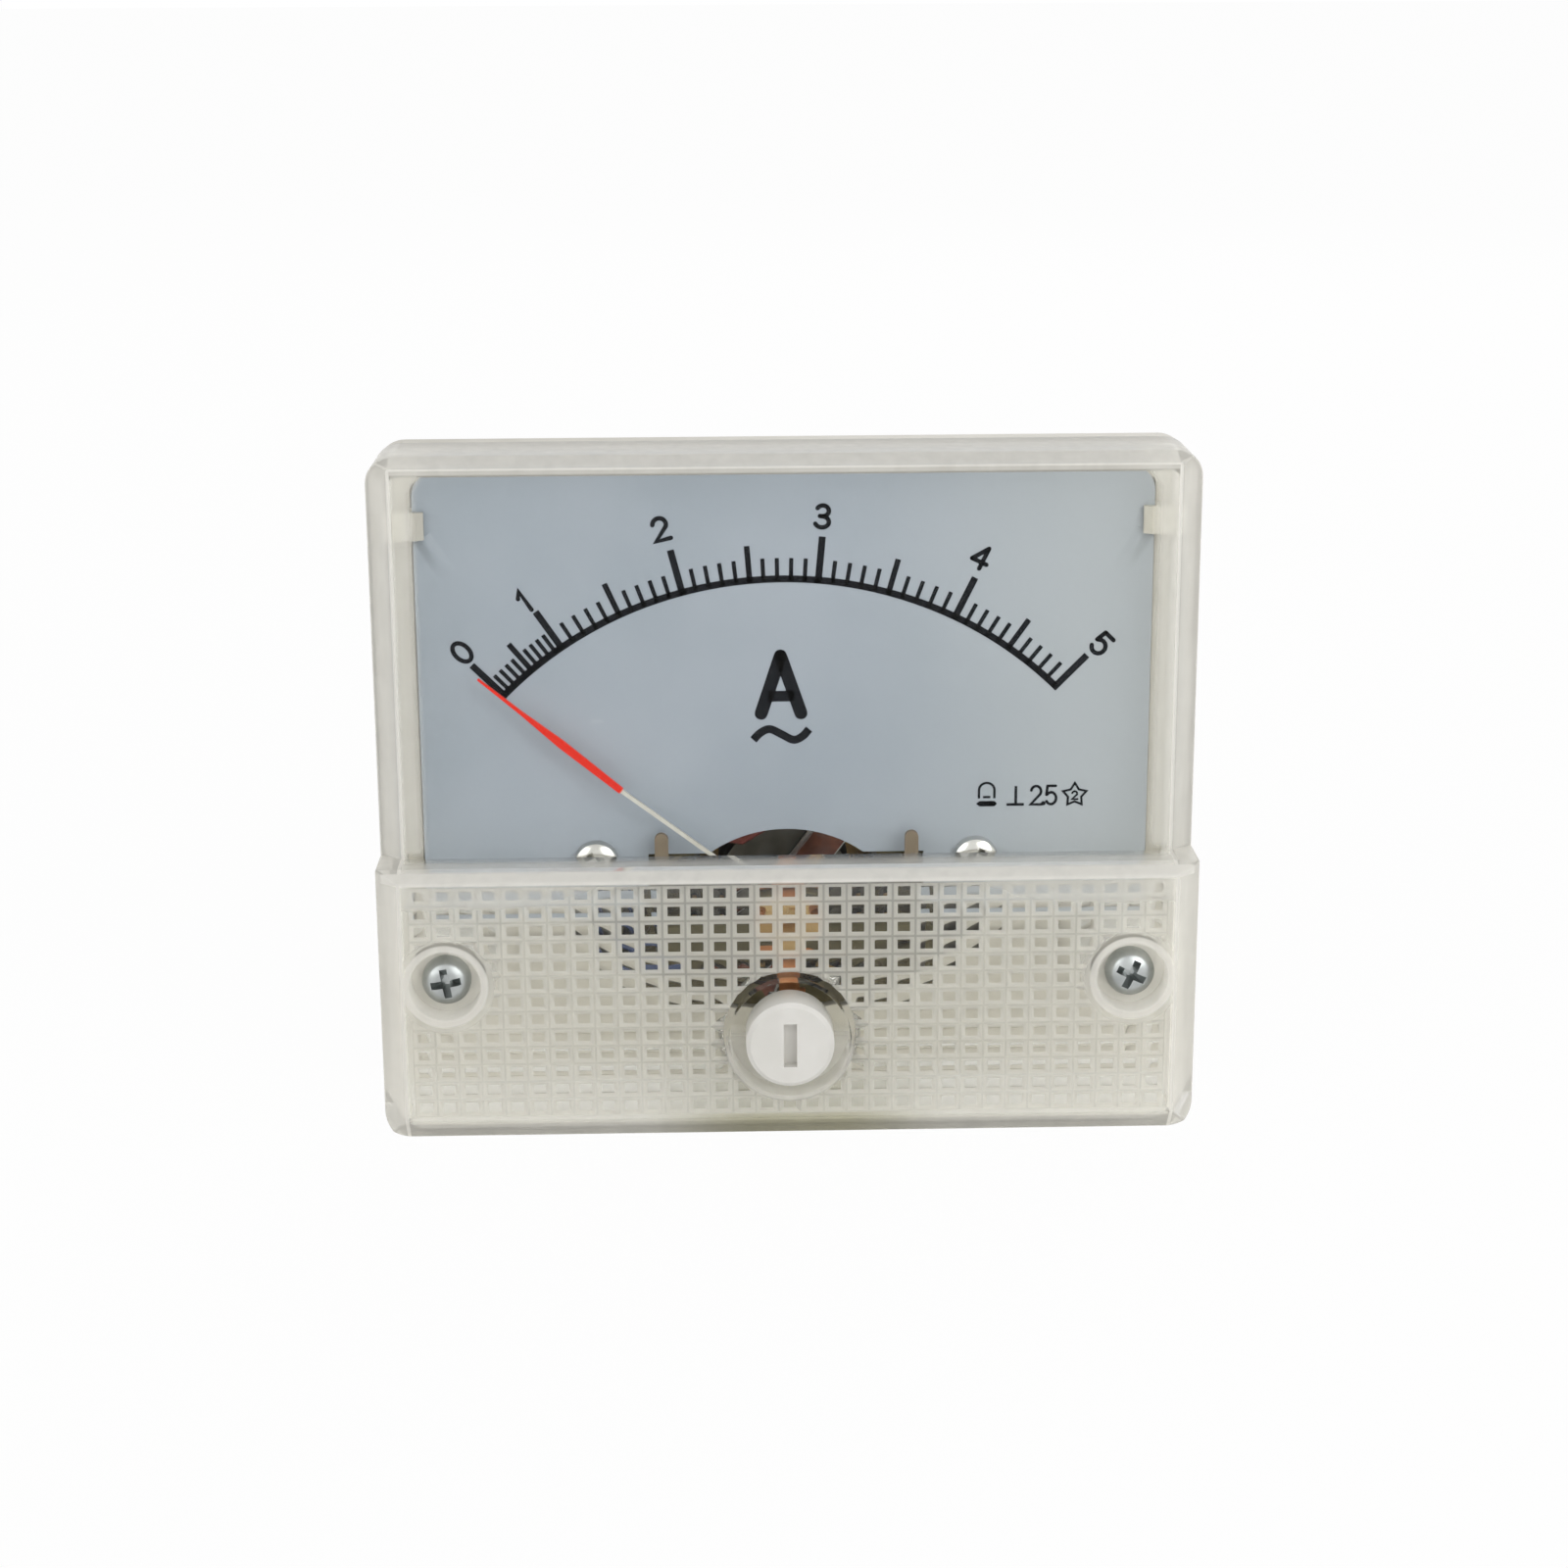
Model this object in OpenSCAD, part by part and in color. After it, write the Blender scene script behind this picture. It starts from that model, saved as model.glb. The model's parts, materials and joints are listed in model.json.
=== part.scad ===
// Rectangular panel ammeter with a clear cover, a zero adjuster and a moving-coil movement.
// The origin is on the barrel axis in the plane of the panel. The dial faces -Y, up is +Z.

/* [Face] */
// Width of the front face
face_w = 65; // [62:0.5:70]
// Height of the front face
face_h = 54.5; // [53.5:0.5:58]
// Radius of the four outer corners
corner_r = 2.2; // [1.6:0.1:3]

/* [Cover] */
// Distance of the window in front of the panel
window_front = 10.5; // [10:0.1:11.5]
// Distance of the textured strip in front of the panel
strip_front = 14.8; // [14.2:0.1:16]
// Distance of the ledge between window and strip below the centre
ledge_drop = 4.75; // [4.5:0.05:5]
// Width of the bevel round the front faces
bevel_w = 1.9; // [1.2:0.1:2.2]
// Depth of the bevel round the front faces
bevel_d = 1.5; // [1:0.1:2]
// Height of the bevel along the upper edge of the window
top_bevel = 0.8; // [0.4:0.1:1.2]
// Height of the bevel along the upper edge of the strip
ledge_bevel = 0.8; // [0.4:0.1:1.2]
// Thickness of the side walls
cover_wall = 1.6; // [1.2:0.1:1.9]
// Thickness of the window
window_t = 1.8; // [1.4:0.1:2.2]
// Thickness of the strip to the top of its texture
strip_t = 2; // [1.7:0.1:2.3]
// Thickness of the ledge between window and strip
ledge_t = 1.2; // [1:0.1:1.5]

/* [Strip texture] */
// Pitch of the cells across
cell_w = 1.82; // [1.6:0.02:2.2]
// Pitch of the cells up and down
cell_h = 1.48; // [1.3:0.02:1.8]
// Width of the flat on each cell
cell_flat_w = 0.98; // [0.6:0.02:1.2]
// Height of the flat on each cell
cell_flat_h = 0.78; // [0.5:0.02:1]
// Depth of the grooves between cells
cell_depth = 0.4; // [0.2:0.05:0.6]

/* [Base] */
// Thickness of the flange in front of the panel
flange_t = 2.2; // [2:0.1:2.6]
// Radius of the barrel behind the panel
barrel_r = 22.5; // [22.2:0.1:22.8]
// Wall of the barrel
barrel_wall = 1.8; // [1.4:0.1:2.2]
// Depth of the barrel behind the panel
barrel_depth = 26; // [25:0.5:32]
// Thickness of the barrel floor
floor_t = 2; // [1.6:0.1:2.6]
// Height of the rim that locates the cover
rim_h = 1; // [0.6:0.1:1.4]
// Wall of that rim
rim_t = 1.2; // [0.8:0.1:1.6]

/* [Cover screws] */
// Distance of the screws from the centre line
screw_x = 27.2; // [26.8:0.1:27.4]
// Distance of the screws below the centre
screw_drop = 14; // [12:0.1:16]
// Radius of the screw shank
screw_r = 1.25; // [1:0.05:1.4]
// Radius of the screw head
screw_head_r = 1.95; // [1.7:0.05:2.2]
// Thickness of the screw head
screw_head_t = 1.6; // [1.2:0.1:2]
// Radius of the recess for the head
screw_recess_r = 2.8; // [2.5:0.05:2.9]
// Depth of the recess for the head
screw_recess = 2.2; // [1.8:0.1:2.8]
// Radius of the column that carries the screw
column_r = 3.3; // [3.1:0.1:3.5]
// Height of the boss on the base under the column
boss_h = 4.3; // [3.5:0.1:5]

/* [Dial] */
// Distance of the dial face in front of the panel
dial_level = 5; // [4.8:0.1:5.4]
// Thickness of the dial plate
dial_t = 0.5; // [0.3:0.1:0.8]
// Gap between the dial and the cover wall
dial_margin = 1.6; // [1.2:0.1:2]
// Gap between the dial and the cover at the top
dial_top_gap = 0.2; // [0.1:0.05:0.6]
// Depth of the side wings of the dial below the ledge
dial_wing = 6.1; // [5:0.1:7]
// Depth of the middle edge of the dial below the ledge
dial_tuck = 1.3; // [1:0.1:1.6]
// Half width of the opening between the wings
dial_notch = 11.2; // [10.9:0.1:11.6]
// Radius of the arch in the middle edge
arch_r = 10.8; // [10:0.1:11.5]
// Height of the arch above the middle edge
arch_rise = 2; // [1.6:0.1:2.4]
// Distance of the dial screws from the centre line
dial_screw_x = 15.4; // [14.5:0.1:16.5]
// Distance of the dial screws below the centre
dial_screw_drop = 6.65; // [6:0.05:7]
// Height of the clips that hold the dial, above the centre
clip_z = 21.2; // [18:0.1:22]
// Height of each clip
clip_h = 2.2; // [2:0.1:3.4]
// How far each clip laps over the dial
clip_lap = 0.9; // [0.7:0.1:1.6]

/* [Movement] */
// Distance of the pivot below the centre
pivot_drop = 10.3; // [10:0.1:10.6]
// Angle of the pointer at zero, from upright
rest_angle = -52.8; // [-53:0.1:-50]
// Radius of the iron core
core_r = 5.5; // [5.2:0.1:5.6]
// Radius of the bore between the poles
bore_r = 7.6; // [7.5:0.1:7.8]
// Length of the poles along the pivot
pole_len = 10; // [9:0.5:11]
// Half width across the poles
pole_x = 11.5; // [11.2:0.1:11.8]
// Wall of each pole leg beside the magnet
leg_t = 4; // [3.6:0.1:4.4]
// Height of the magnet
magnet_h = 7.9; // [7:0.1:8.2]
// Thickness of the movement frame
frame_t = 1.2; // [1:0.1:1.4]
// Half width of a coil side across the gap
coil_half = 1.5; // [1.2:0.1:1.7]
// Thickness of the coil former
former_t = 0.35; // [0.25:0.05:0.4]
// Thickness of the winding
winding_t = 0.75; // [0.5:0.05:0.8]
// Thickness of the bridges
bridge_t = 1; // [0.8:0.1:1.2]
// Distance of the bridge pillars from the pivot, across
pillar_x = 9.4; // [9.3:0.1:9.6]
// Radius of the bridge pillars
pillar_r = 1.2; // [1:0.1:1.3]
// Radius of the pivot staffs
staff_r = 0.4; // [0.3:0.05:0.5]
// Radius of the jewel screws
jewel_r = 1.4; // [1.2:0.1:1.5]
// Turns of the hairsprings
spring_turns = 4; // [3:1:5]

/* [Pointer] */
// Distance of the pointer in front of the dial
pointer_gap = 1.5; // [1.3:0.1:1.7]
// Length of the pointer from the pivot
pointer_len = 31.2; // [29:0.1:32]
// Length of the red lance
lance_len = 14.6; // [12:0.1:16]
// Angle of the lance to the shank
lance_bend = 2.6; // [0:0.1:3]
// Widest part of the lance
lance_w = 0.68; // [0.6:0.02:1.2]
// Width of the lance at the shank
lance_root = 0.52; // [0.4:0.02:0.6]
// Width of the lance towards its tip
lance_neck = 0.3; // [0.2:0.02:0.4]
// Width of the shank
shank_w = 0.3; // [0.24:0.02:0.4]
// Thickness of the pointer
pointer_t = 0.3; // [0.2:0.05:0.4]
// Length of the tail
tail_len = 6.4; // [5.5:0.1:6.8]
// Distance of the stops from the centre line
stop_x = 10.1; // [10:0.1:10.3]
// Width of the stops
stop_w = 1.1; // [0.8:0.1:1.2]
// Height of the stops above the middle edge of the dial
stop_rise = 2.2; // [1.8:0.1:2.4]

/* [Zero adjuster] */
// Distance of the adjuster below the pivot
adjuster_drop = 8.5; // [8.3:0.1:8.8]
// Radius of the adjuster head
adjuster_r = 3.5; // [3:0.1:3.8]
// How far the head stands in front of the strip
adjuster_proud = 1.4; // [0.8:0.1:2]
// Radius of the well round the head
well_r = 4.75; // [4.4:0.05:5]
// Depth of the well
well_depth = 2.2; // [1.8:0.1:2.4]
// Radius of the adjuster shaft
shaft_r = 1.5; // [1.2:0.1:1.8]
// Throw of the eccentric pin
pin_throw = 1.5; // [1.3:0.1:1.6]
// Radius of the eccentric pin
pin_r = 0.45; // [0.35:0.05:0.5]
// Width of the screwdriver slot
slot_w = 1.05; // [0.8:0.05:1.4]
// Length of the screwdriver slot
slot_len = 3.6; // [3:0.1:4.4]

/* [Circuit] */
// Thickness of the circuit board
board_t = 1.6; // [1:0.1:1.8]
// Width of the transformer core
xfmr_w = 18; // [16:0.5:19]
// Depth of the transformer core
xfmr_d = 12; // [10:0.5:12.5]
// Height of the stack of laminations
xfmr_stack = 7; // [6:0.5:8]
// Height of the transformer axis above the centre
xfmr_z = 12.8; // [12.4:0.1:13.2]

/* [Terminals] */
// Distance of the terminals from the centre line
terminal_x = 12.5; // [11.5:0.1:13.5]
// Radius of the terminal studs behind their collar
terminal_r = 2; // [1.8:0.1:2.2]
// Radius of the terminal studs inside the barrel
terminal_in_r = 1.7; // [1.5:0.1:1.7]
// Length of the terminal studs behind the barrel
terminal_len = 16; // [14:0.5:20]
// Width across flats of the collar and the inner nuts
terminal_af = 7; // [6.5:0.1:8]
// Thickness of the collar
terminal_collar = 2.6; // [2:0.1:3]
// Thickness of the nut that holds the circuit board
terminal_nut_t = 2.4; // [2:0.1:3]

/* [Mounting] */
// Distance of the mounting studs from the centre line
stud_x = 27.5; // [27:0.1:28.2]
// Distance of the mounting studs above and below the centre
stud_z = 22; // [21:0.1:22.6]
// Radius of the mounting studs
stud_r = 1.5; // [1.2:0.1:1.8]
// Length of the mounting studs behind the panel
stud_len = 15; // [12:0.5:20]
// Radius of the head that is moulded into the flange
stud_root_r = 1.9; // [1.7:0.1:2.4]

/* [Fits] */
// Clearance of a screw or stud in its hole
hole_gap = 0.05; // [0.03:0.01:0.1]
// Clearance of a turning shaft in its hole
turn_gap = 0.06; // [0.04:0.01:0.1]
// Clearance between pieces that are laid together
lay_gap = 0.1; // [0.05:0.05:0.2]
// Gap beside a piece that turns past another
run_gap = 0.3; // [0.25:0.05:0.35]

/* [Hidden] */
$fn = 48;
eps = 0.01;

// Front faces, measured along Y
hw = face_w / 2;
hh = face_h / 2;
y_win = -window_front;
y_win_edge = y_win + bevel_d;
y_strip = -strip_front;
y_strip_edge = y_strip + bevel_d;
y_strip_in = y_strip + strip_t;
y_flange = -flange_t;
inner_r = corner_r - cover_wall + 0.4;
ledge_z = -ledge_drop;
strip_h = ledge_z + hh;

// Dial
y_dial = -dial_level;
y_dial_back = y_dial + dial_t;
dial_hw = hw - cover_wall - dial_margin;
dial_top = hh - cover_wall - dial_top_gap;
dial_mid = ledge_z - dial_tuck;
dial_low = ledge_z - dial_wing;
arch_z = dial_mid + arch_rise - arch_r;
dial_screw_z = -dial_screw_drop;
dial_screw_head_r = 1.85;
dial_screw_head_t = 1.2;
dial_screw_r = 1;

// Movement
pivot_z = -pivot_drop;
y_frame = y_flange;
y_pole = y_frame + frame_t;
y_pole_end = y_pole + pole_len;
core_gap = 0.45;
core_inset = 0.4;
former_in = core_r + core_gap;
former_out = former_in + former_t;
winding_out = former_out + winding_t;
coil_y0 = y_pole + core_inset - core_gap - 0.15;
coil_y1 = y_pole_end - core_inset + core_gap + 0.15;
coil_front = coil_y0 - former_t - winding_t;
coil_back = coil_y1 + former_t + winding_t;
foot_t = 0.5;
y_pointer = y_dial - pointer_gap;
spring_step = 1.1;
spring_h = 0.4;
y_spring = y_pointer - spring_step;
bridge_step = 0.6;
y_bridge = y_spring - bridge_step;
y_bridge_front = y_bridge - bridge_t;
lever_t = 0.5;
y_lever = y_bridge_front - run_gap;
y_lever_front = y_lever - lever_t;
y_nut = y_lever_front - run_gap;
nut_t = 0.7;
jewel_tip = 0.3;
jewel_end = 0.25;
cup_r = 0.75;
cup_deep = 0.85;
point_len = 0.6;
rear_gap = 3.6;
y_rear_bridge = y_pole_end + rear_gap;
y_rear_spring = y_rear_bridge - 1.1;
pillar_z = pivot_z - 1.5;
tip_x = 3.1;
magnet_z = pivot_z + 9.3;
magnet_top = magnet_z + magnet_h;
magnet_hx = pole_x - leg_t;
frame_screw_z = -0.6;
frame_screw_r = 1.1;
frame_head_r = 1.9;
frame_head_t = 1.3;
frame_grip = 5;
frame_boss_r = 2.7;
frame_strap_low = 3.4;
frame_strap_top = 2.2;
bore_barrel = barrel_r - barrel_wall;
frame_screw_x = bore_barrel - frame_boss_r + lay_gap;
pole_screw_x = pole_x - leg_t / 2;
pole_head_r = 1.7;
pole_head_t = 1.1;
pole_grip = 4;
pole_screw_rim = pole_head_r + 0.9;
pole_screw_z = [magnet_top - 2.4, -sqrt(pow(bore_barrel - pole_screw_rim, 2) - pow(pole_screw_x, 2))];
stop_t = 0.5;
stop_root = 2;

// The lever reaches up to the ledge, and the hairsprings stay inside its tab
tab_t = 0.5;
lever_reach = ledge_z - ledge_t - pivot_z - 1.5 * lay_gap;
tab_r = lever_reach - tab_t;
spring_r = tab_r - run_gap - lay_gap;

// Zero adjuster
adjuster_z = pivot_z - adjuster_drop;
y_well = y_strip + well_depth;
well_floor_t = 1.4;
y_well_back = y_well + well_floor_t;
well_wall = 0.55;
collar_t = 0.5;
collar_r = pin_throw + pin_r + 0.25;
y_collar = y_well_back + run_gap;
fork_gap = 0.18;
fork_wall = 0.75;
fork_r = adjuster_drop - pin_throw;

// Circuit and terminals
y_floor = barrel_depth - floor_t;
floor_nut_t = 2.6;
y_board = y_floor - floor_nut_t - board_t;
board_r = bore_barrel - 0.9;
xfmr_limb = xfmr_w / 3;
xfmr_side = xfmr_w / 6;
y_xfmr = y_board - xfmr_d;
washer_t = 0.8;
terminal_washer_r = 4.4;
pad_h = 0.8;
y_pad = barrel_depth + pad_h;
y_collar_seat = y_pad + washer_t;
y_lug_seat = y_collar_seat + terminal_collar;
y_terminal = barrel_depth + terminal_len;
y_stud = y_flange + 0.6;
thread_end = 0.5;

// Hand-picked routes of the two inner leads, from the board to the movement
lead_r = 0.6;
red_route = [
  [-17.5, y_board, 5.5], [-17.5, y_board - 4, 5.5], [-17.3, 8, 5.5], [-16.6, 1, 5.2], [-15.6, -2.4, 4.2],
  [-13, -3.2, 1.6], [-9.6, -3.4, -2.6], [-6.6, -3.5, -4.7], [-3.6, -3.5, -5.2], [-1.7, -3.5, -4],
  [-0.9, -3.5, -2.4], [-0.8, -3.1, -1.2], [-0.8, y_frame, -1.2]];
blue_route = [
  [-14, y_board, -11.5], [-14, y_board - 4, -11.5], [-14.2, 6, -12.2], [-14.2, 0, -13], [-13.6, -3.4, -14],
  [-11.8, -5.2, -15], [-9.6, -5.8, -14.9], [-8.4, -6.2, -14.3], [-7.7, -6.6, -13.4], [-7.5, -7.2, -12.7],
  [-7.5, y_bridge, -12.7]];

// A flat outline in X and Z, drawn out along Y from y0 to y1
module slab(y0, y1) {
  translate([0, y1, 0]) rotate([90, 0, 0]) linear_extrude(y1 - y0) children();
}

// A round bar along Y
module rod(x, z, y0, y1, r) {
  translate([x, y1, z]) rotate([90, 0, 0]) cylinder(h = y1 - y0, r = r);
}

// A round bar along Y with radius r0 at y0 and r1 at y1
module taper(x, z, y0, y1, r0, r1) {
  translate([x, y1, z]) rotate([90, 0, 0]) cylinder(h = y1 - y0, r1 = r1, r2 = r0);
}

// A hexagon bar along Y
module hex_bar(x, z, y0, y1, af) {
  translate([x, y1, z]) rotate([90, 0, 0]) cylinder(h = y1 - y0, r = af / sqrt(3), $fn = 6);
}

// A rectangle with four true corner arcs
module round_rect(w, h, r) {
  square([w - 2 * r, h], center = true);
  square([w, h - 2 * r], center = true);
  for (sx = [-1, 1], sz = [-1, 1]) translate([sx * (w / 2 - r), sz * (h / 2 - r)]) circle(r = r);
}

// A straight arm with a round end, drawn from the pivot upwards
module arm(len, w) {
  translate([-w / 2, 0]) square([w, len - w / 2]);
  translate([0, len - w / 2]) circle(r = w / 2);
}

// Turns children about the pivot, clockwise from the front
module at_pivot(angle) {
  translate([0, 0, pivot_z]) rotate([0, angle, 0]) children();
}

// A screw along Y with its head in front: the head's seat is at y, the end of the shank at y_end
module pan_screw(x, z, y, y_end, r, head_r, head_t) {
  rod(x, z, y - eps, y_end, r);
  difference() {
    union() {
      rod(x, z, y - head_t * 0.6, y, head_r);
      taper(x, z, y - head_t, y - head_t * 0.6, head_r * 0.72, head_r);
    }
    for (a = [0, 90])
      translate([x, y - head_t, z]) rotate([0, a + 20, 0])
        cube([head_r * 1.15, head_t, head_r * 0.26], center = true);
  }
}

// Outer block of the cover: a front face with bevels on all sides and rounded corners
module front_block(top, yf, ye, upper_bevel) {
  intersection() {
    slab(yf, y_flange) round_rect(face_w, face_h, corner_r);
    translate([0, 0, -hh]) linear_extrude(face_h)
      polygon([[-hw, y_flange], [hw, y_flange], [hw, ye], [hw - bevel_w, yf], [-hw + bevel_w, yf], [-hw, ye]]);
    translate([-hw, 0, 0]) rotate([90, 0, 90]) linear_extrude(face_w)
      polygon([[y_flange, top], [ye, top], [yf, top - upper_bevel], [yf, -hh + bevel_w], [ye, -hh], [y_flange, -hh]]);
  }
}

// Hollow of the cover behind the window and behind the strip
module cover_hollow() {
  in_w = face_w - 2 * cover_wall;
  in_h = face_h - 2 * cover_wall;
  slab(y_win + window_t, y_flange + eps) round_rect(in_w, in_h, inner_r);
  intersection() {
    slab(y_strip_in - cell_depth, y_flange + eps) round_rect(in_w, in_h, inner_r);
    translate([-hw, y_strip, -hh]) cube([face_w, strip_front, strip_h - ledge_t]);
  }
}

// One row of trapezoid teeth as an outline: pitch, flat and number of teeth
function teeth(n, pitch, flat, deep, root) = concat(
  [[-n * pitch / 2, -root]],
  [for (i = [0:n - 1]) let (c = (i - (n - 1) / 2) * pitch)
    each [[c - pitch / 2, 0], [c - flat / 2, deep], [c + flat / 2, deep]]],
  [[n * pitch / 2, 0], [n * pitch / 2, -root]]);

// Waffle texture on the inner face of the strip: rows and columns of blunt pyramids
module waffle() {
  in_w = face_w - 2 * cover_wall - 2 * lay_gap;
  in_top = ledge_z - ledge_t - lay_gap;
  in_bottom = -hh + cover_wall + lay_gap;
  across = floor(in_w / cell_w);
  rows = floor((in_top - in_bottom) / cell_h);
  mid = (in_top + in_bottom) / 2;
  root = strip_t / 4;
  y0 = y_strip_in - cell_depth;
  difference() {
    intersection() {
      translate([0, y0, in_bottom]) linear_extrude(in_top - in_bottom)
        polygon(teeth(across, cell_w, cell_flat_w, cell_depth, root));
      translate([-in_w / 2, y0, mid]) rotate([90, 0, 90]) linear_extrude(in_w)
        polygon([for (p = teeth(rows, cell_h, cell_flat_h, cell_depth, root)) [p[1], p[0]]]);
    }
    for (s = [-1, 1]) rod(s * screw_x, -screw_drop, y0 - 1, y_strip_in + 1, column_r - lay_gap);
    rod(0, adjuster_z, y0 - 1, y_strip_in + 1, well_r + well_wall - lay_gap);
  }
}

module front_cover() {
  color([0.9, 0.91, 0.89, 0.45]) difference() {
    union() {
      difference() {
        union() {
          front_block(hh, y_win, y_win_edge, top_bevel);
          front_block(ledge_z, y_strip, y_strip_edge, ledge_bevel);
        }
        cover_hollow();
      }
      waffle();
      for (s = [-1, 1])
        rod(s * screw_x, -screw_drop, y_strip + strip_t / 2, y_flange - boss_h, column_r);
      rod(0, adjuster_z, y_strip + strip_t / 2, y_well_back, well_r + well_wall);
    }
    for (s = [-1, 1]) {
      rod(s * screw_x, -screw_drop, y_strip - 1, y_strip + screw_recess, screw_recess_r);
      rod(s * screw_x, -screw_drop, y_strip, 0, screw_r + hole_gap);
    }
    rod(0, adjuster_z, y_strip - 1, y_well, well_r);
    rod(0, adjuster_z, y_strip, 0, shaft_r + turn_gap);
  }
}

module base_housing() {
  in_w = face_w - 2 * cover_wall - 2 * lay_gap;
  in_h = face_h - 2 * cover_wall - 2 * lay_gap;
  boss_y = y_flange - boss_h;
  clip_x = dial_hw + lay_gap;
  clip_in = dial_hw - clip_lap;
  color([0.87, 0.85, 0.77]) difference() {
    union() {
      slab(y_flange, 0) round_rect(face_w - 2 * lay_gap, face_h - 2 * lay_gap, corner_r);
      slab(y_flange - rim_h, y_flange + eps) difference() {
        round_rect(in_w, in_h, inner_r);
        round_rect(in_w - 2 * rim_t, in_h - 2 * rim_t, 0.6);
      }
      rod(0, 0, -eps, barrel_depth - 1, barrel_r);
      taper(0, 0, barrel_depth - 1 - eps, barrel_depth, barrel_r, barrel_r - 1);
      for (s = [-1, 1]) {
        rod(s * screw_x, -screw_drop, boss_y, y_flange + eps, column_r - 0.4);
        rod(s * terminal_x, 0, barrel_depth - 1, y_pad, terminal_washer_r + 0.5);
        translate([0, 0, clip_z - clip_h / 2]) linear_extrude(clip_h) mirror([s > 0 ? 0 : 1, 0]) polygon([
          [clip_in, y_flange + eps], [clip_in, y_dial_back + lay_gap], [clip_x, y_dial_back + lay_gap],
          [clip_x, y_dial - lay_gap], [clip_in, y_dial - lay_gap], [clip_in, y_dial - lay_gap - 0.35],
          [clip_in + 0.6, y_dial - lay_gap - 0.7], [in_w / 2, y_dial - lay_gap - 0.7], [in_w / 2, y_flange + eps]]);
      }
    }
    difference() {
      rod(0, 0, y_flange - rim_h - 1, y_floor, bore_barrel);
      for (s = [-1, 1]) intersection() {
        rod(s * frame_screw_x, frame_screw_z, y_pole, y_pole_end, frame_boss_r);
        rod(0, 0, y_pole, y_pole_end, bore_barrel + 0.5);
      }
    }
    for (s = [-1, 1]) {
      rod(s * screw_x, -screw_drop, boss_y - 1, y_flange + 1.4, screw_r + hole_gap);
      rod(s * frame_screw_x, frame_screw_z, y_pole - 1, y_pole + frame_grip + 1, frame_screw_r + hole_gap);
      rod(s * terminal_x, 0, y_floor - 1, y_pad + 1, terminal_in_r + hole_gap);
      for (t = [-1, 1]) rod(s * stud_x, t * stud_z, y_stud, 1, stud_root_r + hole_gap);
    }
  }
}

module cover_screws() {
  color([0.72, 0.73, 0.74]) for (s = [-1, 1])
    pan_screw(s * screw_x, -screw_drop, y_strip + screw_recess, y_flange + 1, screw_r, screw_head_r, screw_head_t);
}

module zero_adjuster() {
  y_face = y_strip - adjuster_proud;
  y_head = y_well - 0.2;
  color([0.95, 0.95, 0.94]) {
    difference() {
      union() {
        taper(0, adjuster_z, y_face, y_face + 0.35, adjuster_r - 0.35, adjuster_r);
        rod(0, adjuster_z, y_face + 0.35 - eps, y_head, adjuster_r);
        rod(0, adjuster_z, y_head - eps, y_collar + eps, shaft_r);
        rod(0, adjuster_z, y_collar, y_collar + collar_t, collar_r);
        rod(0, adjuster_z + pin_throw, y_collar + collar_t - eps, y_lever + 0.25, pin_r);
      }
      translate([0, y_face, adjuster_z]) cube([slot_w, 1.8, slot_len], center = true);
    }
  }
}

module dial_plate() {
  color([0.68, 0.72, 0.77]) slab(y_dial, y_dial_back) difference() {
    union() {
      translate([-dial_hw, dial_low]) square([2 * dial_hw, dial_top - 2 - dial_low]);
      translate([-dial_hw + 2, dial_low]) square([2 * dial_hw - 4, dial_top - dial_low]);
      for (s = [-1, 1]) translate([s * (dial_hw - 2), dial_top - 2]) circle(r = 2);
    }
    translate([-dial_notch, dial_low - 1]) square([2 * dial_notch, dial_mid - dial_low + 1]);
    translate([0, arch_z]) circle(r = arch_r);
    for (s = [-1, 1]) translate([s * dial_screw_x, dial_screw_z]) circle(r = dial_screw_r + hole_gap);
  }
}

module dial_screws() {
  color([0.78, 0.79, 0.8]) for (s = [-1, 1])
    pan_screw(s * dial_screw_x, dial_screw_z, y_dial, y_frame - 0.3, dial_screw_r, dial_screw_head_r, dial_screw_head_t);
}

module pointer_stops() {
  z_top = dial_mid + stop_rise;
  z_low = dial_mid - stop_root;
  y_face = y_pointer - stop_t / 2;
  color([0.55, 0.49, 0.4]) for (s = [-1, 1]) {
    slab(y_face, y_face + stop_t) translate([s * stop_x, z_low]) arm(z_top - z_low, stop_w);
    translate([s * stop_x - stop_w / 2, y_face, z_low]) cube([stop_w, y_frame - y_face, stop_t]);
  }
}

// The pointer lies along +Z from the pivot before it is turned to zero
module pointer() {
  lance_0 = pointer_len - lance_len;
  color([0.85, 0.22, 0.14]) at_pivot(rest_angle) {
    slab(y_pointer - pointer_t / 2, y_pointer + pointer_t / 2) difference() {
      union() {
        translate([-shank_w / 2, 0]) square([shank_w, lance_0 + shank_w]);
        translate([0, lance_0]) rotate(-lance_bend) for (m = [0, 1]) mirror([m, 0]) polygon([[0, 0], [lance_root / 2, 0],
          [lance_w / 2, lance_len * 0.42], [lance_neck / 2, lance_len * 0.7], [0.08, lance_len], [0, lance_len]]);
        translate([-0.3, -tail_len]) square([0.6, tail_len]);
        translate([-4.6, -0.3]) square([9.2, 0.6]);
      }
      circle(r = staff_r + hole_gap);
    }
    difference() {
      rod(0, 0, y_pointer - 0.55, y_pointer + 0.55, 1.1);
      rod(0, 0, y_pointer - 1, y_pointer + 1, staff_r + hole_gap);
    }
  }
}

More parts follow.
